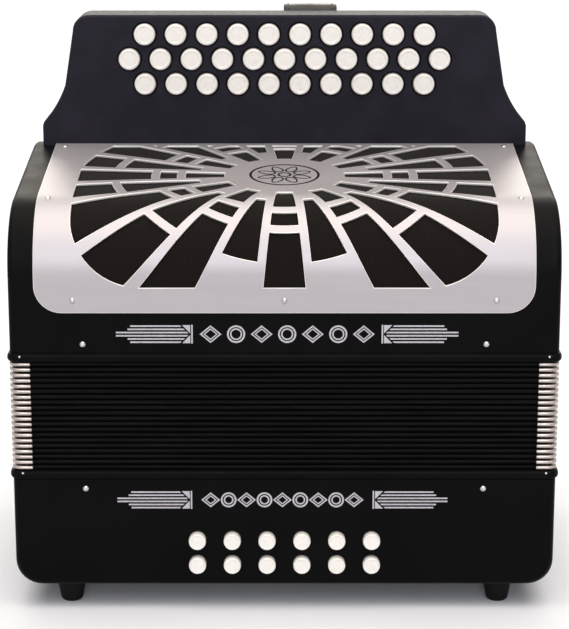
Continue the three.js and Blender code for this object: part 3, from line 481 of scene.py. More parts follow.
def turned(bm, profile, sides, place=(0, 0, 0), axis="y", index=0):
    """A lathed piece; profile points are (radius, along its axis)."""
    rings = []
    for radius, along in profile:
        turns = circle_turns(sides) if radius > 1e-6 else [0.0]
        points = [on_axis(axis, radius * math.cos(t), radius * math.sin(t), along) for t in turns]
        rings.append([bm.verts.new(Vector(point) + Vector(place)) for point in points])
    for a, b in zip(rings, rings[1:]):
        for i in range(sides):
            j = (i + 1) % sides
            if len(a) == 1:
                corners = (a[0], b[i], b[j])
            elif len(b) == 1:
                corners = (a[i], a[j], b[0])
            else:
                corners = (a[i], a[j], b[j], b[i])
            bm.faces.new(corners).material_index = index
    return rings


def carved(mesh, cutters):
    """Cuts solids out of a mesh; each cutter is a mesh, and its own materials line the cut."""
    body = linked("carve_body", mesh)
    tools = [linked("carve_tool", cutter) for cutter in cutters]
    for tool in tools:
        modifier = body.modifiers.new("carve", "BOOLEAN")
        modifier.operation = "DIFFERENCE"
        modifier.solver = "EXACT"
        modifier.material_mode = "TRANSFER"
        modifier.object = tool
    result = settled(body)
    for tool in tools:
        bpy.data.objects.remove(tool)
    return result


def box_cutter(boxes, material):
    """One mesh of plain boxes, each given as its x, y and z ranges."""
    bm = bmesh.new()
    for box in boxes:
        block(bm, *box)
    return to_mesh(bm, [material])


def prism_cutter(axis, outline, low, high, material):
    bm = bmesh.new()
    prism(bm, axis, outline, low, high)
    return to_mesh(bm, [material])


def rounded_prism(axis, outline, low, high, radius, material, steps=4):
    """A prism rounded at both ends; outline(inset) gives its points drawn in by an inset."""
    turns = [math.pi / 2 * i / steps for i in range(steps + 1)]
    near = [(low + radius * (1 - math.cos(a)), radius * (1 - math.sin(a))) for a in turns]
    levels = near + [(low + high - level, inset) for level, inset in reversed(near)]
    bm = bmesh.new()
    loft(bm, [[on_axis(axis, a, b, level) for a, b in outline(inset)] for level, inset in levels])
    return to_mesh(bm, [material])


CORNERS = ((1, 1), (-1, 1), (-1, -1), (1, -1))


def outline_round(half_x, half_y, radius, steps, along=(1, 1)):
    """Points round a rectangle with rounded corners, anticlockwise from its right-hand side."""
    arcs = []
    for k, (side_x, side_y) in enumerate(CORNERS):
        center = (side_x * (half_x - radius), DEPTH / 2 + side_y * (half_y - radius))
        arcs.append(arc(center, radius, 90 * k, 90 * (k + 1), steps))
    points = []
    for k, corner in enumerate(arcs):
        points += corner
        start, stop = Vector(corner[-1]), Vector(arcs[(k + 1) % 4][0])
        pieces = along[k % 2]
        points += [tuple(start.lerp(stop, i / pieces)) for i in range(1, pieces)]
    return points


def swept(bm, section, inset, radius, steps=6, along=(1, 1)):
    """Sweeps a closed section of (outward offset, z) points round the casings' outline."""
    rings = []
    for offset, z in section:
        out = offset - inset
        ring = outline_round(HALF_WIDTH + out, DEPTH / 2 + out, max(radius + offset, 0.3), steps, along)
        rings.append([(x, y, z) for x, y in ring])
    loft(bm, rings, closed=True)


# Treble casing: an upright front that bends into a gently sloping top

EDGE_RADIUS = 3.6
REAR_ROUND = 40.0
REAR_MIDDLE = (DEPTH - REAR_ROUND, top_z(DEPTH - REAR_ROUND) - REAR_ROUND / math.cos(SLOPE))
REAR_STEPS = 14
BEND_STEPS = 28
WINDOW_SILL = 34.0
WINDOW_HALF = 124.0
WINDOW_END = BEND_STOP + (BOARD_FRONT - 4.0 - BEND_END_Y) / math.cos(SLOPE)
REED_BOARD_LOW = TREBLE_BOTTOM + 25.0
REED_BOARD_TOP = REED_BOARD_LOW + 6.0
PALLET_ROWS = {"outer": 45.0, "middle": 75.0, "inner": 105.0}
ROW_COUNTS = {"outer": 10, "middle": 11, "inner": 10}
ROW_LEVELS = {"outer": BOARD_TOP - 11.2, "middle": BOARD_TOP - 26.2, "inner": BOARD_TOP - 41.3}
LEVER_SHIFTS = {"outer": -BUTTON_PITCH / 6, "middle": 0.0, "inner": BUTTON_PITCH / 6}
REED_HALF_WIDTH = 3.6
REED_HALF_THICKNESS = 0.5
REED_PITCH = 10.0
INNER_HALF = HALF_WIDTH - WALL
INNER_DEPTH = (WALL, DEPTH - WALL)


def bend_lengths(start, stop):
    """Lengths along the skin between two others, close together where it bends."""
    marks = [FRONT_RISE + BEND_LENGTH * i / BEND_STEPS for i in range(BEND_STEPS + 1)]
    return [start, *(t for t in marks if start < t < stop), stop]


def skin_strip(start, stop, out, low):
    """A strip of the skin between two lengths and two levels, as (y, z) points."""
    lengths = bend_lengths(start, stop)
    return [skin(t, out) for t in lengths] + [skin(t, low) for t in reversed(lengths)]


def rear_bend(out, stop=0.0):
    """The round back edge of the treble casing's top as (y, z) points, from the slope down."""
    return arc(REAR_MIDDLE, REAR_ROUND + out, 90 + math.degrees(SLOPE), stop, REAR_STEPS)


def case_profile(inset):
    """The treble casing seen from its end, as (y, z) points drawn in by an inset."""
    front = [skin(t, -inset) for t in bend_lengths(FRONT_RISE - 0.5, BEND_STOP)]
    return [(inset, TREBLE_BOTTOM), *front, *rear_bend(-inset), (DEPTH - inset, TREBLE_BOTTOM)]


def key_places():
    """Each treble key's row, name, button x and lever x."""
    for row, count in ROW_COUNTS.items():
        for i in range(count):
            x = (i - (count - 1) / 2) * BUTTON_PITCH
            yield row, f"treble_key_{row}_{i + 1:02d}", x, x + LEVER_SHIFTS[row]


def treble_casing():
    mesh = rounded_prism("x", case_profile, -HALF_WIDTH, HALF_WIDTH, EDGE_RADIUS, LACQUER)
    across = (-INNER_HALF, INNER_HALF)
    lower = box_cutter([(across, INNER_DEPTH, (TREBLE_BOTTOM - 1, REED_BOARD_LOW))], SPRUCE)
    ceiling = [skin(t, -WALL) for t in bend_lengths(FRONT_RISE, BEND_STOP)]
    room = [(WALL, REED_BOARD_TOP), *ceiling, *rear_bend(-WALL), (DEPTH - WALL, REED_BOARD_TOP)]
    upper = prism_cutter("x", room, *across, SPRUCE)
    strip = skin_strip(WINDOW_SILL, WINDOW_END, 1.0, -WALL - 1.0)
    window = prism_cutter("x", strip, -WINDOW_HALF, WINDOW_HALF, LACQUER)
    slot_y = (BOARD_FRONT + 4.0, BOARD_BACK - 4.0)
    slot = box_cutter([((-WINDOW_HALF, WINDOW_HALF), slot_y, (AXLE_Z, AXLE_Z + 60))], SPRUCE)
    holes = [
        (around(lever_x, 4.5), around(PALLET_ROWS[row], 7.5), (REED_BOARD_LOW - 1, REED_BOARD_TOP + 1))
        for row, _, _, lever_x in key_places()
    ]
    mesh = carved(mesh, [lower, upper, window, slot, box_cutter(holes, SPRUCE)])
    add("treble_casing_shell", hardened(mesh), "treble", ["treble_casing"])


def treble_reed_blocks():
    bm = bmesh.new()
    half_depth = 8.5
    rivet = [(0.0, -0.9), (1.1, -0.7), (1.3, 0.0), (0.0, 0.1)]
    for y in PALLET_ROWS.values():
        block(bm, (-105, 105), around(y, half_depth), (142.3, REED_BOARD_LOW + 0.2), 0.6)
        for i in range(21):
            x = (i - 10) * REED_PITCH
            for side in (-1, 1):
                face = y + side * half_depth
                reed = around(face, REED_HALF_THICKNESS)
                block(bm, around(x, REED_HALF_WIDTH), reed, (146.0, 175.0), 0.15, 1, 1)
                turned(bm, rivet, 8, (x, face + side * 0.4, 172.0), "y", 2)
    add("treble_reed_blocks", to_mesh(bm, [SPRUCE, LEVER_METAL, BRASS]), "treble", ["treble_casing"])


# Bass casing, which stands on its feet with its reeds above and its buttons in front

BOTTOM_RADIUS = 15.0
RIM = 1.5
FLOOR_TOP = BASS_BOTTOM + 5.0
BASS_BOARD = (60.0, 66.0)
DUCT = (106.0, 110.0)
AIR_X = 130.0
AIR_Z = 47.0
BASS_ROWS = {"upper": 42.0, "lower": 27.5}
BASS_COLUMNS = 6
COVER_HALF = 103.0
COVER_Y = (32.5, 152.5)
RAIL_Y = (24.0, 28.0)
BORE = ((0.0, -1.0), (6.4, -1.0), (5.95, -0.05), (5.5, 0.6), (5.5, WALL + 1), (0.0, WALL + 1))
FOOT_X = 124.5
FOOT_Y = 17.0
FOOT = ((0.0, 1.2), (2.0, 1.2), (2.3, 0.0), (4.2, 0.0), (5.4, 0.35), (6.2, 1.2), (6.6, 2.6),
        (7.6, 8.0), (8.9, 14.6), (9.0, 15.4), (8.7, 15.7), (0.0, 15.7))


def bass_outline(inset):
    """The bass casing seen from the front, as (x, z) points drawn in by an inset."""
    center = (HALF_WIDTH - BOTTOM_RADIUS, BASS_BOTTOM - RIM + BOTTOM_RADIUS)
    return mirrored(arc(center, BOTTOM_RADIUS - inset, -90, 0, 8) + [(HALF_WIDTH - inset, BASS_TOP)])


def bass_places():
    for row, z in BASS_ROWS.items():
        for i in range(BASS_COLUMNS):
            yield f"bass_button_{row}_{i + 1:02d}", (i - (BASS_COLUMNS - 1) / 2) * BASS_PITCH, z


def bass_casing():
    mesh = rounded_prism("y", bass_outline, 0, DEPTH, EDGE_RADIUS, LACQUER)
    inner, corner, top = INNER_HALF, BOTTOM_RADIUS - 5.0, BASS_TOP + 1
    chamber = [(-inner + corner, FLOOR_TOP), (DUCT[0], FLOOR_TOP), (DUCT[0], BASS_BOARD[0]),
               (-inner, BASS_BOARD[0]), (-inner, FLOOR_TOP + corner)]
    duct = [(DUCT[1], FLOOR_TOP), (inner - corner, FLOOR_TOP), (inner, FLOOR_TOP + corner), (inner, top),
            (DUCT[1], top)]
    reeds = ((-inner, DUCT[1] + 1), INNER_DEPTH, (BASS_BOARD[1], top))
    cover_y = (COVER_Y[0] - SEAT, COVER_Y[1] + SEAT)
    cover = (around(0, COVER_HALF + SEAT), cover_y, (BASS_BOTTOM - RIM - 1, FLOOR_TOP + 1))
    bores = bmesh.new()
    for _, x, z in bass_places():
        turned(bores, BORE, 32, (x, 0, z))
    back = (DEPTH - WALL - 1, DEPTH + 1)
    vents = [(around(AIR_X + x, half), back, around(AIR_Z, rise)) for x, half, rise in
             ((-7, 2, 6), (7, 2, 6), (0, 2.9, 2.9))]
    mesh = carved(mesh, [
        prism_cutter("y", chamber, *INNER_DEPTH, SPRUCE),
        prism_cutter("y", duct, *INNER_DEPTH, SPRUCE),
        box_cutter([reeds], SPRUCE),
        box_cutter([cover], LACQUER),
        to_mesh(bores, [LACQUER]),
        box_cutter(vents, LACQUER),
    ])
    add("bass_casing_shell", hardened(mesh), "bass", ["bass_casing"])


def bass_works():
    """The reed block above the bass board, and the rail that guides the buttons' stems."""
    bm = bmesh.new()
    faces = (78, 112)
    block(bm, (-100, 100), faces, (BASS_BOARD[1] - 0.2, 96), 0.6)
    for i in range(20):
        for y in faces:
            x = around((i - 9.5) * REED_PITCH, REED_HALF_WIDTH)
            block(bm, x, around(y, REED_HALF_THICKNESS), (69, 93), 0.15, 1, 1)
    add("bass_reed_block", to_mesh(bm, [SPRUCE, LEVER_METAL]), "bass", ["bass_casing"])
    rail = bmesh.new()
    block(rail, (-59, 59), RAIL_Y, (FLOOR_TOP - 0.2, BASS_BOTTOM + 31), 0.3)
    slots = [(around(x, 2.4), (RAIL_Y[0] - 1, RAIL_Y[1] + 1), around(z, 2.4)) for _, x, z in bass_places()]
    mesh = carved(to_mesh(rail, [MAPLE]), [box_cutter(slots, MAPLE)])
    add("bass_guide_rail", smoothed(mesh), "bass", ["bass_casing"])


def bass_cover():
    bm = bmesh.new()
    block(bm, (-COVER_HALF, COVER_HALF), COVER_Y, (BASS_BOTTOM, BASS_BOTTOM + 3), 0.5)
    slots = bmesh.new()
    for i in range(7):
        x = (2 * (i + 1) / 8 - 1) * COVER_HALF
        ends = arc((x, COVER_Y[1] - 20), 2, 0, 180, 8) + arc((x, COVER_Y[0] + 20), 2, 180, 360, 8)
        prism(slots, "z", ends, BASS_BOTTOM - 1, BASS_BOTTOM + 4)
    mesh = carved(to_mesh(bm, [BOARD_FINISH]), [to_mesh(slots, [BOARD_FINISH])])
    add("bass_cover_plate", hardened(mesh), "bass", ["bass_cover"])


def feet():
    for end, y in (("front", FOOT_Y), ("rear", DEPTH - FOOT_Y)):
        for side, x in (("left", -FOOT_X), ("right", FOOT_X)):
            bm = bmesh.new()
            turned(bm, FOOT, 40, (x, y, 0), "z")
            name = f"foot_{end}_{side}"
            add(f"{name}_rubber", to_mesh(bm, [RUBBER], 40), "bass", [name])


# Bellows frames, folds and the metal corners on every fold

LIP = -5.4
FRAME_BACK = ((-13.3, 12.0), (-13.3, LIP + 0.2), (-13.1, LIP), (-0.5, LIP), (-0.15, LIP + 0.1))
FRAME_SEAT = ((-0.35, -0.3), (-7.3, -0.3), (-7.3, 11.4), (-7.9, 12.0))


def frames():
    turns = [math.pi * i / 10 for i in range(11)]
    bead = [(1.6 * math.sin(turn) ** 0.85, -3 + 2.35 * math.cos(turn)) for turn in turns]
    section = [*FRAME_BACK, *reversed(bead), *FRAME_SEAT]
    for body, edge, up in (("treble", TREBLE_BOTTOM, 1), ("bass", BASS_TOP, -1)):
        bm = bmesh.new()
        swept(bm, [(offset, edge + up * rise) for offset, rise in section], 0, 4)
        mesh = hardened(to_mesh(bm, [LACQUER]))
        add(f"{body}_frame_bead", mesh, body, [f"bellows_frame_{body}"])


FOLD_FROM = BASS_TOP - LIP
FOLD_TO = TREBLE_BOTTOM + LIP
FOLD_PITCH = (FOLD_TO - FOLD_FROM) / FOLD_COUNT
FOLD_DEPTH = 18.0
FOLD_INSET = 1.0
FOLD_RADIUS = 6.0
RIDGE = ((-3.4, 1.3), (-1.0, 1.16), (-0.3, 0.92), (-0.04, 0.5), (0.0, 0.0))


def fold_middle(i):
    return FOLD_FROM + (i + 0.5) * FOLD_PITCH


def wander(place, fold):
    """A small uneven lift of a ridge, the same on every run."""
    return 0.16 * noise.noise(Vector((place.x * 0.013, place.y * 0.013, fold * 5.3)))


def stretched(name, mesh):
    """Adds a piece of the bellows on no body, with its place baked into its mesh."""
    obj = add(name, mesh, None, ["bellows"])
    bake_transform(obj)


def bellows():
    section = [(-FOLD_DEPTH - 1.5, FOLD_FROM), (-1.5, FOLD_FROM)]
    for i in range(FOLD_COUNT):
        middle = fold_middle(i)
        section += [(offset, middle - half) for offset, half in RIDGE]
        section += [(offset, middle + half) for offset, half in reversed(RIDGE[:-1])]
        if i + 1 < FOLD_COUNT:
            section.append((-FOLD_DEPTH, middle + FOLD_PITCH / 2))
    section += [(-1.5, FOLD_TO), (-FOLD_DEPTH - 1.5, FOLD_TO)]
    for i in reversed(range(FOLD_COUNT)):
        section.append((-4.0, fold_middle(i)))
        if i:
            section.append((-FOLD_DEPTH - 1.5, FOLD_FROM + i * FOLD_PITCH))
    bm = bmesh.new()
    swept(bm, section, FOLD_INSET, FOLD_RADIUS, 5, (26, 14))
    for vertex in bm.verts:
        fold = (vertex.co.z - FOLD_FROM) / FOLD_PITCH
        if 0.2 < fold < FOLD_COUNT - 0.2:
            vertex.co.z += wander(vertex.co, math.floor(fold))
    stretched("bellows_folds", to_mesh(bm, [CLOTH], 60))


CLIP_INSET = -0.2
CLIP_RADIUS = 5.2
CLIP_SECTION = ((0.34, 0.0), (0.28, 0.42), (0.04, 0.8), (-0.5, 1.06), (-2.0, 1.16), (-4.2, 1.2))
CLIP_LEG = ((6.6, 0.8), (6.4, 0.98), (5.4, 1.0), (5.0, 0.9), (4.6, 1.0), (0.0, 1.0))


def corner_clips():
    section = [*CLIP_SECTION, *((offset, -half) for offset, half in reversed(CLIP_SECTION[1:]))]
    inset = CLIP_INSET + CLIP_RADIUS
    bm = bmesh.new()
    for k, (side_x, side_y) in enumerate(CORNERS):
        center = Vector((side_x * (HALF_WIDTH - inset), DEPTH / 2 + side_y * (DEPTH / 2 - inset)))
        stations = [(90.0 * k, -leg, share) for leg, share in CLIP_LEG]
        stations += [(90.0 * (k + i / 6), 0.0, 1.0) for i in range(1, 6)]
        stations += [(90.0 * (k + 1), leg, share) for leg, share in reversed(CLIP_LEG)]
        for i in range(FOLD_COUNT):
            middle = fold_middle(i) + wander(center, i) * (0 < i < FOLD_COUNT - 1)
            rings = []
            for degrees, leg, share in stations:
                turn = math.radians(degrees)
                normal = Vector((math.cos(turn), math.sin(turn)))
                tangent = Vector((-normal.y, normal.x))
                ring = []
                for offset, half in section:
                    place = center + (CLIP_RADIUS + offset - 0.5 * (1 - share)) * normal + leg * tangent
                    ring.append((*place, middle + half * share))
                rings.append(ring)
            loft(bm, rings)
    stretched("bellows_corner_clips", to_mesh(bm, [CLIP_METAL], 50))


# Fingerboard

BOARD_EDGE = 1.8
SHOULDER = ((147.5, 14.5), (138.5, 24.5), (134.0, 37.0))
BUTTON_BORE = ((0.0, -1), (8.35, -1), (7.95, -0.05), (7.65, 0.12), (7.45, 0.5), (7.45, 8), (0.0, 8))


def board_outline(inset, low=BOARD_BOTTOM - 10):
    """The fingerboard seen from the front, as (x, z) points drawn in by an inset."""
    top, radius = BOARD_TOP + 0.4 - inset, max(10 - inset, 1.0)
    right = [(148.3 - inset, low), (148.3 - inset, BOARD_BOTTOM + 12), (147.5 - inset, BOARD_BOTTOM + 14.5)]
    start, pull, stop = (Vector((x - inset, BOARD_BOTTOM + rise)) for x, rise in SHOULDER)
    for i in range(1, 11):
        s = i / 10
        right.append(tuple((1 - s) ** 2 * start + 2 * s * (1 - s) * pull + s * s * stop))
    return mirrored(right + arc((128.7 - inset - radius, top - radius), radius, 0, 90, 8))


def fingerboard():
    mesh = rounded_prism("y", board_outline, BOARD_FACE, BOARD_BACK, BOARD_EDGE, BOARD_FINISH)
    hollow = prism_cutter("y", board_outline(4.0, BOARD_BOTTOM - 30), BOARD_FRONT + 4, BOARD_BACK - 3, SPRUCE)
    front, back = BOARD_FACE - 2, BOARD_BACK + 4
    seat = [(front, top_z(front) + SEAT), *rear_bend(SEAT, 48.0), (back, 200), (front, 200)]
    below = prism_cutter("x", seat, -HALF_WIDTH, HALF_WIDTH, BOARD_FINISH)
    bores = bmesh.new()
    profile = [(radius, BOARD_FACE + along) for radius, along in BUTTON_BORE]
    for row, _, x, _ in key_places():
        turned(bores, profile, 40, (x, 0, ROW_LEVELS[row]))
    mesh = carved(mesh, [hollow, below, to_mesh(bores, [BOARD_FINISH])])
    add("fingerboard_shell", hardened(mesh), "treble", ["fingerboard"])


# Grille: a sheet with a sunburst of openings, bent to the casing, with the gauze behind it

SUN_HEIGHT = 113.4
RAYS = 24
SUN = {"side": 120.0, "below": 98.9, "above": 59.8, "corner": 40.0, "shoulder": 120.3, "furthest": 150.0}
SUN_UPPER_SHARE = 0.93
SUN_FALL = ((0.0, 0.0), (34.0, 32.5), (50.0, 44.1), (200.0, 176.4))
LONG_RAY = (1.0, 0.096)
SHORT_RAY = (-5.5, 0.162)
LEAST_STEP = 0.4


def flattened(y):
    """How far above the sun's middle a point lies that would be at y in a round sun."""
    if y >= 0:
        return y * SUN_UPPER_SHARE
    for (round_from, start), (round_to, stop) in zip(SUN_FALL, SUN_FALL[1:]):
        if -y <= round_to:
            return -(start + (-y - round_from) / (round_to - round_from) * (stop - start))


def ray_opening(angle, half_base, spread, inner, outer):
    """One opening of the sunburst in flat (x, height) coordinates, with its ends on arcs."""

    def place(radius, share):
        half = max(half_base + spread * radius, 0.3) * share
        along = math.sqrt(radius * radius - half * half)
        x = math.cos(angle) * along - math.sin(angle) * half
        return x, flattened(math.sin(angle) * along + math.cos(angle) * half)

    shares = [-1 + 0.25 * i for i in range(9)]
    return [place(outer, s) for s in shares] + [place(inner, s) for s in reversed(shares)]


def sun_limit():
    side, corner, shoulder = SUN["side"], SUN["corner"], SUN["shoulder"]
    start, stop = math.degrees(math.acos(side / shoulder)), math.degrees(math.asin(SUN["above"] / shoulder))
    lower = arc((side - corner, corner - SUN["below"]), corner, -90, 0, 14)
    return mirrored(lower + arc((0, 0), shoulder, start, stop, 14))


def clipped(polygon, limit):
    """The part of a polygon inside a convex limit, both anticlockwise."""
    for i, a in enumerate(limit):
        b = limit[(i + 1) % len(limit)]
        sides = [(b[0] - a[0]) * (p[1] - a[1]) - (b[1] - a[1]) * (p[0] - a[0]) for p in polygon]
        kept = []
        for j, p in enumerate(polygon):
            k = (j + 1) % len(polygon)
            q, here, there = polygon[k], sides[j], sides[k]
            if here >= 0:
                kept.append(p)
            if here * there < 0:
                share = here / (here - there)
                kept.append((p[0] + share * (q[0] - p[0]), p[1] + share * (q[1] - p[1])))
        polygon = kept
    return polygon


def spaced(polygon):
    """Drops points that lie closer than a little to the one before."""
    kept = []
    for point in polygon:
        if not kept or math.dist(point, kept[-1]) > LEAST_STEP:
            kept.append(point)
    if math.dist(kept[0], kept[-1]) <= LEAST_STEP:
        kept.pop()
    return kept


def sun_openings():
    limit = sun_limit()
    for i in range(RAYS):
        angle = 2 * math.pi * i / RAYS
        if i % 2 == 0:
            edges, shape = [(35.2, 57.7), (62.9, 72.7), (77.9, SUN["furthest"])], LONG_RAY
        elif abs(angle - 1.5 * math.pi) < math.pi / 6:
            edges, shape = [(50.5, 97.0)], SHORT_RAY
        else:
            edges, shape = [(50.5, 96.0), (101.2, SUN["furthest"])], SHORT_RAY
        for inner, outer in edges:
            opening = clipped(ray_opening(angle, *(LONG_RAY if inner > 100 else shape), inner, outer), limit)
            if opening:
                yield spaced([(x, y + SUN_HEIGHT) for x, y in opening])


def pierced_sheet(outer, holes, thickness, edge):
    """A flat sheet with rounded edges, made in (x, height, depth) about the middle of its thickness."""
    curve = bpy.data.curves.new("sheet", "CURVE")
    curve.dimensions = "2D"
    curve.fill_mode = "BOTH"
    curve.extrude = thickness / 2 - edge
    curve.bevel_depth = edge
    curve.bevel_resolution = 1
    curve.offset = -edge
    for loop in [outer, *(hole[::-1] for hole in holes)]:
        spline = curve.splines.new("POLY")
        spline.points.add(len(loop) - 1)
        for point, (x, y) in zip(spline.points, loop):
            point.co = (x, y, 0, 1)
        spline.use_cyclic_u = True
    bm = bmesh.new()
    bm.from_mesh(settled(linked("sheet", curve)))
    bmesh.ops.remove_doubles(bm, verts=bm.verts, dist=0.002)
    return bm


def laid_on_skin(bm, out):
    """Lays a flat mesh of (x, height, depth) on the skin, its depth counted outwards."""
    for vertex in bm.verts:
        x, height, depth = vertex.co
        vertex.co = (x, *skin(GRILLE_SILL + height, out + depth))


def grille():
    corner = 15.5
    outer = mirrored(arc((GRILLE_HALF - corner, corner), corner, -90, 0, 12) + [(GRILLE_HALF, GRILLE_LENGTH)])
    bm = pierced_sheet(outer, list(sun_openings()), SHEET, 0.34)
    bm.normal_update()
    # The faces round the sheet's edge and its openings take the milled-edge material, whose near-white colour
    # is partly a painted highlight
    for face in bm.faces:
        face.material_index = 0 if abs(face.normal.z) > 0.98 else 1
    for t in bend_lengths(FRONT_RISE, BEND_STOP):
        parts = [*bm.verts, *bm.edges, *bm.faces]
        place = (0, t - GRILLE_SILL, 0)
        bmesh.ops.bisect_plane(bm, geom=parts, dist=1e-5, plane_co=place, plane_no=(0, 1, 0))
    laid_on_skin(bm, SEAT + SHEET / 2)
    mesh = to_mesh(bm, [METAL, CUT_METAL_AND_HIGHLIGHT], 40)
    sides = {}
    for face in mesh.polygons:
        for edge in face.edge_keys:
            sides.setdefault(edge, set()).add(face.material_index)
    for edge in mesh.edges:
        if len(sides[edge.key]) > 1:
            edge.use_edge_sharp = True
    add("grille_sheet", mesh, "treble", ["grille"])


def grille_gauze():
    bm = bmesh.new()
    half = WINDOW_HALF - SEAT
    prism(bm, "x", skin_strip(WINDOW_SILL + SEAT, WINDOW_END - SEAT, 0.0, -0.8), -half, half)
    add("grille_cloth", to_mesh(bm, [GAUZE]), "treble", ["grille_gauze"])


def petal(turn, half, reach):
    """The outline of one petal of the rosette, pointed at its inner end."""
    points = []
    for swing in circle_turns(24):
        along = 11.2 + reach * math.cos(swing)
        across = half * math.sin(swing) * (1 - 0.25 * math.cos(swing))
        x = along * math.cos(turn) - across * math.sin(turn)
        points.append((x, SUN_HEIGHT + (along * math.sin(turn) + across * math.cos(turn))))
    return points


def hub_rosette():
    """A plain inlaid ring with an eight-petalled rosette at the middle of the rays."""
    loops = [tuple(arc((0.0, SUN_HEIGHT), radius, 0, 360, 72)[:-1] for radius in (20.6, 19.2))]
    for i in range(8):
        turn = math.radians(45 * i + 22.5)
        loops.append((petal(turn, 3.3, 5.6), petal(turn, 2.3, 4.6)))
    loops.append(tuple(arc((0.0, SUN_HEIGHT), radius, 0, 360, 32)[:-1] for radius in (4.2, 2.9)))
    bm = bmesh.new()
    for outer, inner in loops:
        band(bm, "z", outer, inner, -0.06, 0.1)
    laid_on_skin(bm, SEAT + SHEET)
    add("grille_rosette", to_mesh(bm, [LACQUER]), "treble")


# Screws and pins

HEAD = ((0.0, 0.5), (0.35, 0.46), (0.68, 0.33), (0.9, 0.14), (1.0, 0.0), (0.96, -0.12), (0.0, -0.12))
HEAD_RADIUS = 1.75


def head(material):
    """A domed head of radius one about the origin, facing +Z."""
    bm = bmesh.new()
    turned(bm, HEAD, 24, axis="z")
    return to_mesh(bm, [material], 50)


CROSS_HALF, CROSS_LONG, CROSS_DEEP = (-0.12, 0.12), (-0.62, 0.62), (0.1, 1)
# The cut cross is lined with the near-black recess material, a painted shade
CROSS = box_cutter([(CROSS_HALF, CROSS_LONG, CROSS_DEEP), (CROSS_LONG, CROSS_HALF, CROSS_DEEP)], RECESS_PAINTED_SHADE)
SCREW = smoothed(carved(head(STEEL), [CROSS]), 50)
PIN = head(NICKEL)


def scattered(name, template, body, places):
    """Copies a head to each place, given as (point, facing direction, radius, turn in degrees)."""
    bm = bmesh.new()
    for point, facing, radius, turn in places:
        copy = template.copy()
        aim = Vector(facing).to_track_quat("Z", "Y").to_matrix().to_4x4()
        spin = Matrix.Rotation(math.radians(turn), 4, "Z")
        copy.transform(Matrix.Translation(point) @ aim @ spin @ Matrix.Scale(radius, 4))
        bm.from_mesh(copy)
        bpy.data.meshes.remove(copy)
    mesh = bpy.data.meshes.new(name)
    bm.to_mesh(mesh)
    bm.free()
    for material in template.materials:
        mesh.materials.append(material)
    add(name, mesh, body)


def front_and_back(half, z, out, radius):
    """Places of two pins on the front and two on the back."""
    pins = [((x, -out, z), (0, -1, 0), radius, 0) for x in (-half, half)]
    return pins + [((x, DEPTH + out, z), (0, 1, 0), radius, 0) for x in (-half, half)]


def fasteners():
    heads = []
    places = [(-118.5, 7.0), (0.0, 7.0), (118.5, 7.0)]
    places += [(side * 134.0, height) for side in (-1, 1) for height in (71.0, 172.0)]
    for i, (x, height) in enumerate(places):
        t = GRILLE_SILL + height
        turn = min(max((t - FRONT_RISE) / BEND_RADIUS, 0.0), BEND_ANGLE)
        facing = (0, -math.cos(turn), math.sin(turn))
        heads.append(((x, *skin(t, SEAT + SHEET - 0.02)), facing, HEAD_RADIUS, 35 + 50 * i))
    scattered("grille_screws", SCREW, "treble", heads)
    for body, z in (("treble", 158.0), ("bass", 73.0)):
        pins = front_and_back(113.5, z, 0.02, HEAD_RADIUS)
        for side in (-1, 1):
            x = side * (HALF_WIDTH + 0.02)
            pins += [((x, y, z), (side, 0, 0), HEAD_RADIUS, 0) for y in (46, 139)]
        scattered(f"{body}_casing_pins", PIN, body, pins)
    for body, z, out in (("treble", TREBLE_BOTTOM - 2.2, 1.47), ("bass", BASS_TOP + 4.1, 1.4)):
        scattered(f"{body}_frame_pins", PIN, body, front_and_back(149, z, out, 0.68))
    under = [((x, y, BASS_BOTTOM - 0.02), (0, 0, -1), 2.2, 20 * x) for x in (-96, 0, 96) for y in (40, 145)]
    scattered("bass_cover_screws", SCREW, "bass", under)


# Keys, buttons and their works

CAP_FACE = ((0.0, 0.3), (0.4, 0.33), (0.62, 0.42), (0.68, 0.46), (0.71, 0.42), (0.76, 0.16), (0.81, 0.06),
            (0.87, 0.14), (0.93, 0.48), (0.975, 1.1), (1.0, 2.0))
HUB = ((2.3, -2.2), (4.2, -2.2), (4.6, -1.8), (4.6, 1.8), (4.2, 2.2), (2.3, 2.2))
AXLE = ((0.0, -151.7), (1.6, -151.7), (2.0, -151.2), (2.0, 151.2), (1.6, 151.7), (0.0, 151.7))
AXLE_SIDES = 20


def cap_profile(radius, front, back, rim, way=1):
    """A button with a shallow ring round its face; front and back are places along y."""
    points = [(share * radius, front + way * depth * rim) for share, depth in CAP_FACE]
    return points + [(radius, back - way * 0.5), (radius - 0.4, back), (0.0, back)]


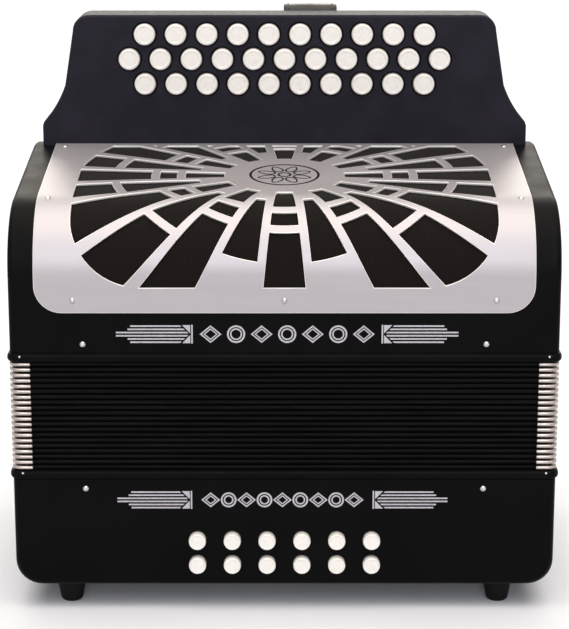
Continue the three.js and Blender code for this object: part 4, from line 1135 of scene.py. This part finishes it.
def key_mesh(row):
    """One treble key of a row, with its button at x = 0."""
    bm = bmesh.new()
    z, x = ROW_LEVELS[row], LEVER_SHIFTS[row]
    cap_back = BOARD_FRONT + 6.7
    turned(bm, cap_profile(6.5, BOARD_FRONT - 6.5, cap_back, 1.0), 48, (0, 0, z))
    arm_front, arm_back = BOARD_FRONT + 11.7, BOARD_FRONT + 17.7
    bend = AXLE_Z + 16
    crank = [(AXLE_Y - 2.3, AXLE_Z), (AXLE_Y + 2.3, AXLE_Z), (arm_back, bend), (arm_back, z + 3),
             (cap_back - 1, z + 3), (cap_back - 1, z - 3), (arm_front, z - 3), (arm_front, bend)]
    pallet_y, pallet_top = PALLET_ROWS[row], REED_BOARD_TOP + 7.3
    along = Vector((AXLE_Y - pallet_y, AXLE_Z - pallet_top)).normalized()
    across = Vector((along.y, -along.x)) * 2.5
    foot, hub = Vector((pallet_y, pallet_top)), Vector((AXLE_Y, AXLE_Z))
    arm = [tuple(place) for place in (foot + across, hub + across, hub - across, foot - across)]
    for outline in (crank, arm):
        eased(bm, "x", outline, x - 1.0, x + 1.0, 0.25, 1)
    rings = turned(bm, [(r, x + side) for r, side in HUB], AXLE_SIDES, (0, AXLE_Y, AXLE_Z), "x", 2)
    for i in range(AXLE_SIDES):
        j = (i + 1) % AXLE_SIDES
        bm.faces.new((rings[-1][i], rings[-1][j], rings[0][j], rings[0][i])).material_index = 2
    pallet = (around(x, 7.5), around(pallet_y, 11))
    block(bm, *pallet, (REED_BOARD_TOP + 2.6, pallet_top), 0.5, 3)
    block(bm, *pallet, (REED_BOARD_TOP + 0.3, REED_BOARD_TOP + 2.7), 0.4, 4)
    return to_mesh(bm, [PEARL, LEVER_METAL, BRASS, MAPLE, FELT], 50)


def treble_keys():
    templates = {row: key_mesh(row) for row in ROW_COUNTS}
    for row, name, x, _ in key_places():
        mesh = templates[row].copy()
        mesh.transform(Matrix.Translation((x, 0, 0)))
        add(f"{name}_lever", mesh, name, [name])
    bm = bmesh.new()
    turned(bm, AXLE, AXLE_SIDES, (0, AXLE_Y, AXLE_Z), "x")
    add("treble_axle_rod", to_mesh(bm, [STEEL], 50), "treble", ["treble_axle"])


def bass_buttons():
    for name, x, z in bass_places():
        bm = bmesh.new()
        turned(bm, cap_profile(5.0, -4.0, 8.0, 0.7), 40, (x, 0, z))
        block(bm, around(x, 2), (7, 32), around(z, 2), 0.25, 1, 1)
        add(f"{name}_cap", to_mesh(bm, [PEARL, MAPLE], 50), name, [name])


def air_button():
    bm = bmesh.new()
    turned(bm, cap_profile(6.5, DEPTH + 10.6, DEPTH + 4.6, 0.8, -1), 48, (AIR_X, 0, AIR_Z))
    block(bm, around(AIR_X, 2.5), (176.7, DEPTH + 9.4), around(AIR_Z, 2.5), 0.3, 1, 1)
    block(bm, around(AIR_X, 13), (174.7, 176.6), around(AIR_Z, 13), 0.4, 2)
    block(bm, around(AIR_X, 13), (176.4, 177.7), around(AIR_Z, 13), 0.3, 3)
    mesh = to_mesh(bm, [PEARL, STEEL, MAPLE, FELT], 50)
    add("air_button_valve", mesh, "air_button", ["air_button"])


# Straps, each cut from flat leather with a sewn edge

STITCH = ((-0.5, 0.45), (-0.38, 0.9), (0.0, 1.0), (0.38, 0.9), (0.5, 0.45))
STITCH_PITCH = 3.6
STITCH_LENGTH = 2.5
STITCH_HALF = 0.42


def strap_band(bm, path, width_axis, width, thickness, closed, index=0):
    """Lofts a strap along a path of (point, outward normal), its edges rounded and its face a little full."""
    rounding = thickness * 0.36
    half = width / 2
    section = [
        (half - rounding, 0.0), (half - 0.15, rounding * 0.35), (half, rounding),
        (half, thickness - rounding), (half - 0.25, thickness - rounding * 0.4),
        (half - rounding, thickness), (half * 0.5, thickness + 0.22),
    ]
    outline = section + [(0.0, thickness + 0.3)] + [(-across, out) for across, out in reversed(section)]
    side = Vector(width_axis)
    rings = []
    for point, normal in path:
        point, normal = Vector(point), Vector(normal)
        rings.append([point + side * across + normal * out for across, out in outline])
    loft(bm, rings, closed, index)


def stitches(bm, path, width_axis, across, out):
    """A row of short raised stitches along a path of (point, outward normal)."""
    travelled, due = 0.0, STITCH_PITCH / 2
    side = Vector(width_axis)
    for (a, normal_a), (b, normal_b) in zip(path, path[1:]):
        a, b = Vector(a), Vector(b)
        step = (b - a).length
        if step < 1e-6:
            continue
        along = (b - a) / step
        while travelled + step >= due:
            share = (due - travelled) / step
            normal = Vector(normal_a).lerp(Vector(normal_b), share).normalized()
            middle = a.lerp(b, share) + side * across + normal * out
            rings = []
            for reach, size in STITCH:
                center = middle + along * reach * STITCH_LENGTH
                rings.append([
                    center + (side * math.cos(turn) + normal * math.sin(turn) * 0.8) * STITCH_HALF * size
                    for turn in circle_turns(6)
                ])
            loft(bm, rings, index=1)
            due += STITCH_PITCH
        travelled += step


HAND_Z = 47.0
HAND_WIDTH = 44.0
HAND_THICKNESS = 3.7
HAND_ARCH = 96.0
HAND_RISE = 35.7
HAND_TAB = 18.0
BACK = DEPTH + SEAT


def hand_path(steps=56):
    """The inner line of the hand strap with its outward normals: a flat tab, an arch and a flat tab."""
    half = HAND_ARCH + HAND_TAB
    path = [((-half + HAND_TAB * i / 4, BACK, HAND_Z), (0, 1, 0)) for i in range(4)]
    for i in range(steps + 1):
        angle = math.pi * (1 - i / steps)
        x = HAND_ARCH * math.cos(angle)
        y = BACK + HAND_RISE * (1 - math.cos(2 * angle)) / 2
        lean = 2 * HAND_RISE * x / HAND_ARCH ** 2 * min(1.0, (1 - abs(x) / HAND_ARCH) * 6)
        path.append(((x, y, HAND_Z), tuple(Vector((lean, 1, 0)).normalized())))
    return path + [((HAND_ARCH + HAND_TAB * i / 4, BACK, HAND_Z), (0, 1, 0)) for i in range(1, 5)]


def hand_strap():
    bm = bmesh.new()
    path = hand_path()
    strap_band(bm, path, (0, 0, 1), HAND_WIDTH, HAND_THICKNESS, False)
    for edge in (-1, 1):
        stitches(bm, path, (0, 0, 1), edge * (HAND_WIDTH / 2 - 3.2), 3.8)
    lining = [(tuple(Vector(p) - Vector(n) * 0.6), n) for p, n in path[10:-10]]
    strap_band(bm, lining, (0, 0, 1), HAND_WIDTH - 3, 1.2, False, 2)
    mesh = to_mesh(bm, [LEATHER, THREAD, LINING], 55)
    add("hand_strap_leather", mesh, "bass", ["hand_strap"])
    plates = bmesh.new()
    screws = []
    for side in (-1, 1):
        x = side * (HAND_ARCH + HAND_TAB - 8.0)
        block(plates, around(x, 6.2), (BACK + 3.9, BACK + 5.3), around(HAND_Z, 20), 0.6)
        screws += [((x, BACK + 5.25, HAND_Z + rise), (0, 1, 0), 2.6, 30 * rise) for rise in (-13, 13)]
    add("hand_strap_plates", hardened(to_mesh(plates, [NICKEL])), "bass")
    scattered("hand_strap_screws", SCREW, "bass", screws)


THUMB_X = 16.0
THUMB_WIDTH = 33.0
THUMB_THICKNESS = 3.0
THUMB_FRONT = BOARD_BACK + SEAT
THUMB_TOP = BOARD_TOP + 3.6
THUMB_HEIGHT = 56.0


def thumb_path():
    """The inner line of the loop with its outward normals, from the foot of its front leg round and back."""
    outer, small = 14.0, 2.2
    back, bottom = BOARD_BACK + 26.0 - outer, THUMB_TOP - THUMB_HEIGHT
    wide = outer - THUMB_THICKNESS
    front = THUMB_FRONT + THUMB_THICKNESS + small
    path = []
    for center, radius, start, steps in (
        ((front, bottom + THUMB_THICKNESS + small), small, 180, 4),
        ((back, bottom + outer), wide, 270, 9),
        ((back, THUMB_TOP - outer), wide, 0, 9),
        ((front, THUMB_TOP - THUMB_THICKNESS - small), small, 90, 4),
    ):
        for k, (y, z) in enumerate(arc(center, radius, start, start + 90, steps)):
            turn = math.radians(start + 90 * k / steps)
            path.append(((THUMB_X, y, z), (0, math.cos(turn), math.sin(turn))))
    return path


def thumb_strap():
    bm = bmesh.new()
    path = thumb_path()
    strap_band(bm, path, (1, 0, 0), THUMB_WIDTH, THUMB_THICKNESS - 0.3, True)
    for edge in (-1, 1):
        stitches(bm, path, (1, 0, 0), edge * (THUMB_WIDTH / 2 - 2.8), THUMB_THICKNESS - 0.2)
    add("thumb_strap_leather", to_mesh(bm, [LEATHER, THREAD], 55), "treble", ["thumb_strap"])
    plate = bmesh.new()
    middle, y = THUMB_TOP - THUMB_HEIGHT / 2, THUMB_FRONT + THUMB_THICKNESS
    block(plate, around(THUMB_X, 11), (y - 0.2, y + 1.1), around(middle, 15), 0.5)
    add("thumb_strap_plate", hardened(to_mesh(plate, [NICKEL])), "treble")
    screws = [((THUMB_X, y + 1.05, middle + rise), (0, 1, 0), 2.4, 40 + rise) for rise in (-9.5, 9.5)]
    scattered("thumb_strap_screws", SCREW, "treble", screws)


# Printed stripes and plain figures on the casings' fronts

PRINT_LEVELS = (-0.1, 0.04)


def stripes(bm, side, near, far, center, middle):
    """Six stripes between two distances from the middle, stepped outwards and closed by a small wedge."""
    pitch, half = 1.86, 0.44
    outlines = []
    for i in range(6):
        rank = abs(i - 2.5) - 0.5
        outer = far - 6.5 * (rank > 0.5) - 1.5 * (rank > 1.5)
        inner = near + 2.4 + 1.9 * rank
        slant = 0.45 if i > 2 else -0.45
        low, high = around(middle + (i - 2.5) * pitch, half)
        outlines.append([(inner - slant, low), (outer, low), (outer, high), (inner + slant, high)])
    low, high = around(middle, 2.9 * pitch)
    outlines.append([(near - 0.5, low), (near + 0.35, low), (near + 0.35, high), (near - 0.5, high)])
    for way in (-1, 1):
        base, tip = middle + way * 0.5, middle + way * 2.8 * pitch
        outlines.append([(near + 0.9, base), (near + 0.9, tip), (near + 5.4, tip)])
    for outline in outlines:
        prism(bm, "y", [(center + side * x, z) for x, z in outline], *PRINT_LEVELS)


def figures(bm, center, middle, reach, count, half):
    """A row of outlined lozenges and rings."""
    for i in range(count):
        x = center + (2 * i / (count - 1) - 1) * reach
        turns, stretch = (circle_turns(36), 1.0) if i % 2 else (circle_turns(4), 1.2)
        outer, inner, rim, core = (
            [(x + stretch * size * math.cos(turn), middle + size * math.sin(turn)) for turn in turns]
            for size in (half, half - 1.0, half - 1.7, half - 2.5)
        )
        band(bm, "y", inner, outer, *PRINT_LEVELS)
        band(bm, "y", core, rim, *PRINT_LEVELS)


def prints():
    for body, center, middle, near, far, reach, count, half in (
        ("treble", 1.5, 164.05, 53.5, 96.1, 43.0, 7, 5.1),
        ("bass", -1.2, 66.35, 52.1, 94.4, 41.0, 9, 4.5),
    ):
        bm = bmesh.new()
        for side in (-1, 1):
            stripes(bm, side, near, far, center, middle)
        figures(bm, center, middle, reach, count, half)
        add(f"{body}_casing_stripes", to_mesh(bm, [PRINT]), body)


treble_casing()
treble_reed_blocks()
bass_casing()
bass_works()
bass_cover()
feet()
frames()
bellows()
corner_clips()
fingerboard()
grille()
grille_gauze()
hub_rosette()
fasteners()
treble_keys()
bass_buttons()
air_button()
hand_strap()
thumb_strap()
prints()


# Floor, background, lights and camera

SKY = ((0.0, (0.8, 0.8, 0.86)), (0.2, (0.7, 0.7, 0.72)), (0.5, (0.95, 0.9, 0.84)), (0.95, (1.0, 0.96, 0.87)))


def floor():
    m = Surface("floor_white", (0.94, 0.95, 1.0), 0.9, Specular_IOR_Level=0.0)
    lit = m.shader.outputs["BSDF"]
    glowing = m.add("ShaderNodeAddShader")
    m.link(lit, glowing.inputs[0])
    m.link(m.add("ShaderNodeEmission", Strength=0.02).outputs["Emission"], glowing.inputs[1])
    both = m.seen_and_lighting(glowing.outputs["Shader"], lit)
    m.link(both, m.tree.nodes["Material Output"].inputs["Surface"])
    mesh = bpy.data.meshes.new("floor")
    reach = 6.0
    corners = [(reach * x, reach * y, 0) for x, y in ((-1, -1), (1, -1), (1, 1), (-1, 1))]
    mesh.from_pydata(corners, [], [(0, 1, 2, 3)])
    mesh.materials.append(m.material)
    obj = linked("floor", mesh)
    obj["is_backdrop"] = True


def background():
    """White to the eye; what mirrors see is a little brighter low down and warmer overhead."""
    world = bpy.data.worlds.new("studio")
    scene.world = world
    world.use_nodes = True
    world.node_tree.nodes.clear()
    m = Nodes(world.node_tree)
    apart = m.add("ShaderNodeSeparateXYZ")
    m.link(m.add("ShaderNodeTexCoord").outputs["Generated"], apart.inputs["Vector"])
    white = m.add("ShaderNodeMix", data_type="RGBA")
    m.link(m.add("ShaderNodeLightPath").outputs["Is Camera Ray"], white.inputs["Factor"])
    m.link(m.ramp(apart.outputs["Z"], SKY), white.inputs[6])
    white.inputs[7].default_value = (1, 1, 1, 1)
    bright = m.add("ShaderNodeBackground")
    m.link(white.outputs[2], bright.inputs["Color"])
    soft = m.add("ShaderNodeBackground", Color=(0.98, 0.955, 1.0, 1), Strength=0.12)
    both = m.seen_and_lighting(bright.outputs["Background"], soft.outputs["Background"])
    m.link(both, m.add("ShaderNodeOutputWorld").inputs["Surface"])


def sun(name, elevation, azimuth, width, strength, color):
    """A broad soft light, given as where it stands in the sky: azimuth 0 is behind the camera."""
    light = bpy.data.lights.new(name, "SUN")
    light.angle = math.radians(width)
    light.energy = strength
    light.color = color
    up, round_ = math.radians(elevation), math.radians(azimuth)
    place = Vector((math.sin(round_) * math.cos(up), -math.cos(round_) * math.cos(up), math.sin(up)))
    linked(name, light).rotation_euler = place.to_track_quat("Z", "Y").to_euler()


def camera():
    data = bpy.data.cameras.new("camera")
    data.lens = 119.8
    data.sensor_width = 36.0
    scene.camera = linked("camera", data)
    scene.camera.location = (0.0, -1.2502, 0.449)
    scene.camera.rotation_euler = (math.radians(90 - 13.5), 0, 0)


floor()
background()
sun("overhead_light", 82, 0, 66, 2.56, (1.0, 0.945, 0.87))
sun("front_light", 36, 0, 34, 0.62, (0.95, 0.955, 1.0))
sun("low_light", 15, 0, 16, 0.56, (0.92, 0.935, 1.0))
sun("back_light", 24, 180, 40, 1.25, (1.0, 0.94, 0.84))
camera()
scene.view_settings.view_transform = "Standard"

bounds = {"cad": cad_bounds, "visual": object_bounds()}
plain = {key: [[float(value) for value in corner] for corner in corners] for key, corners in bounds.items()}
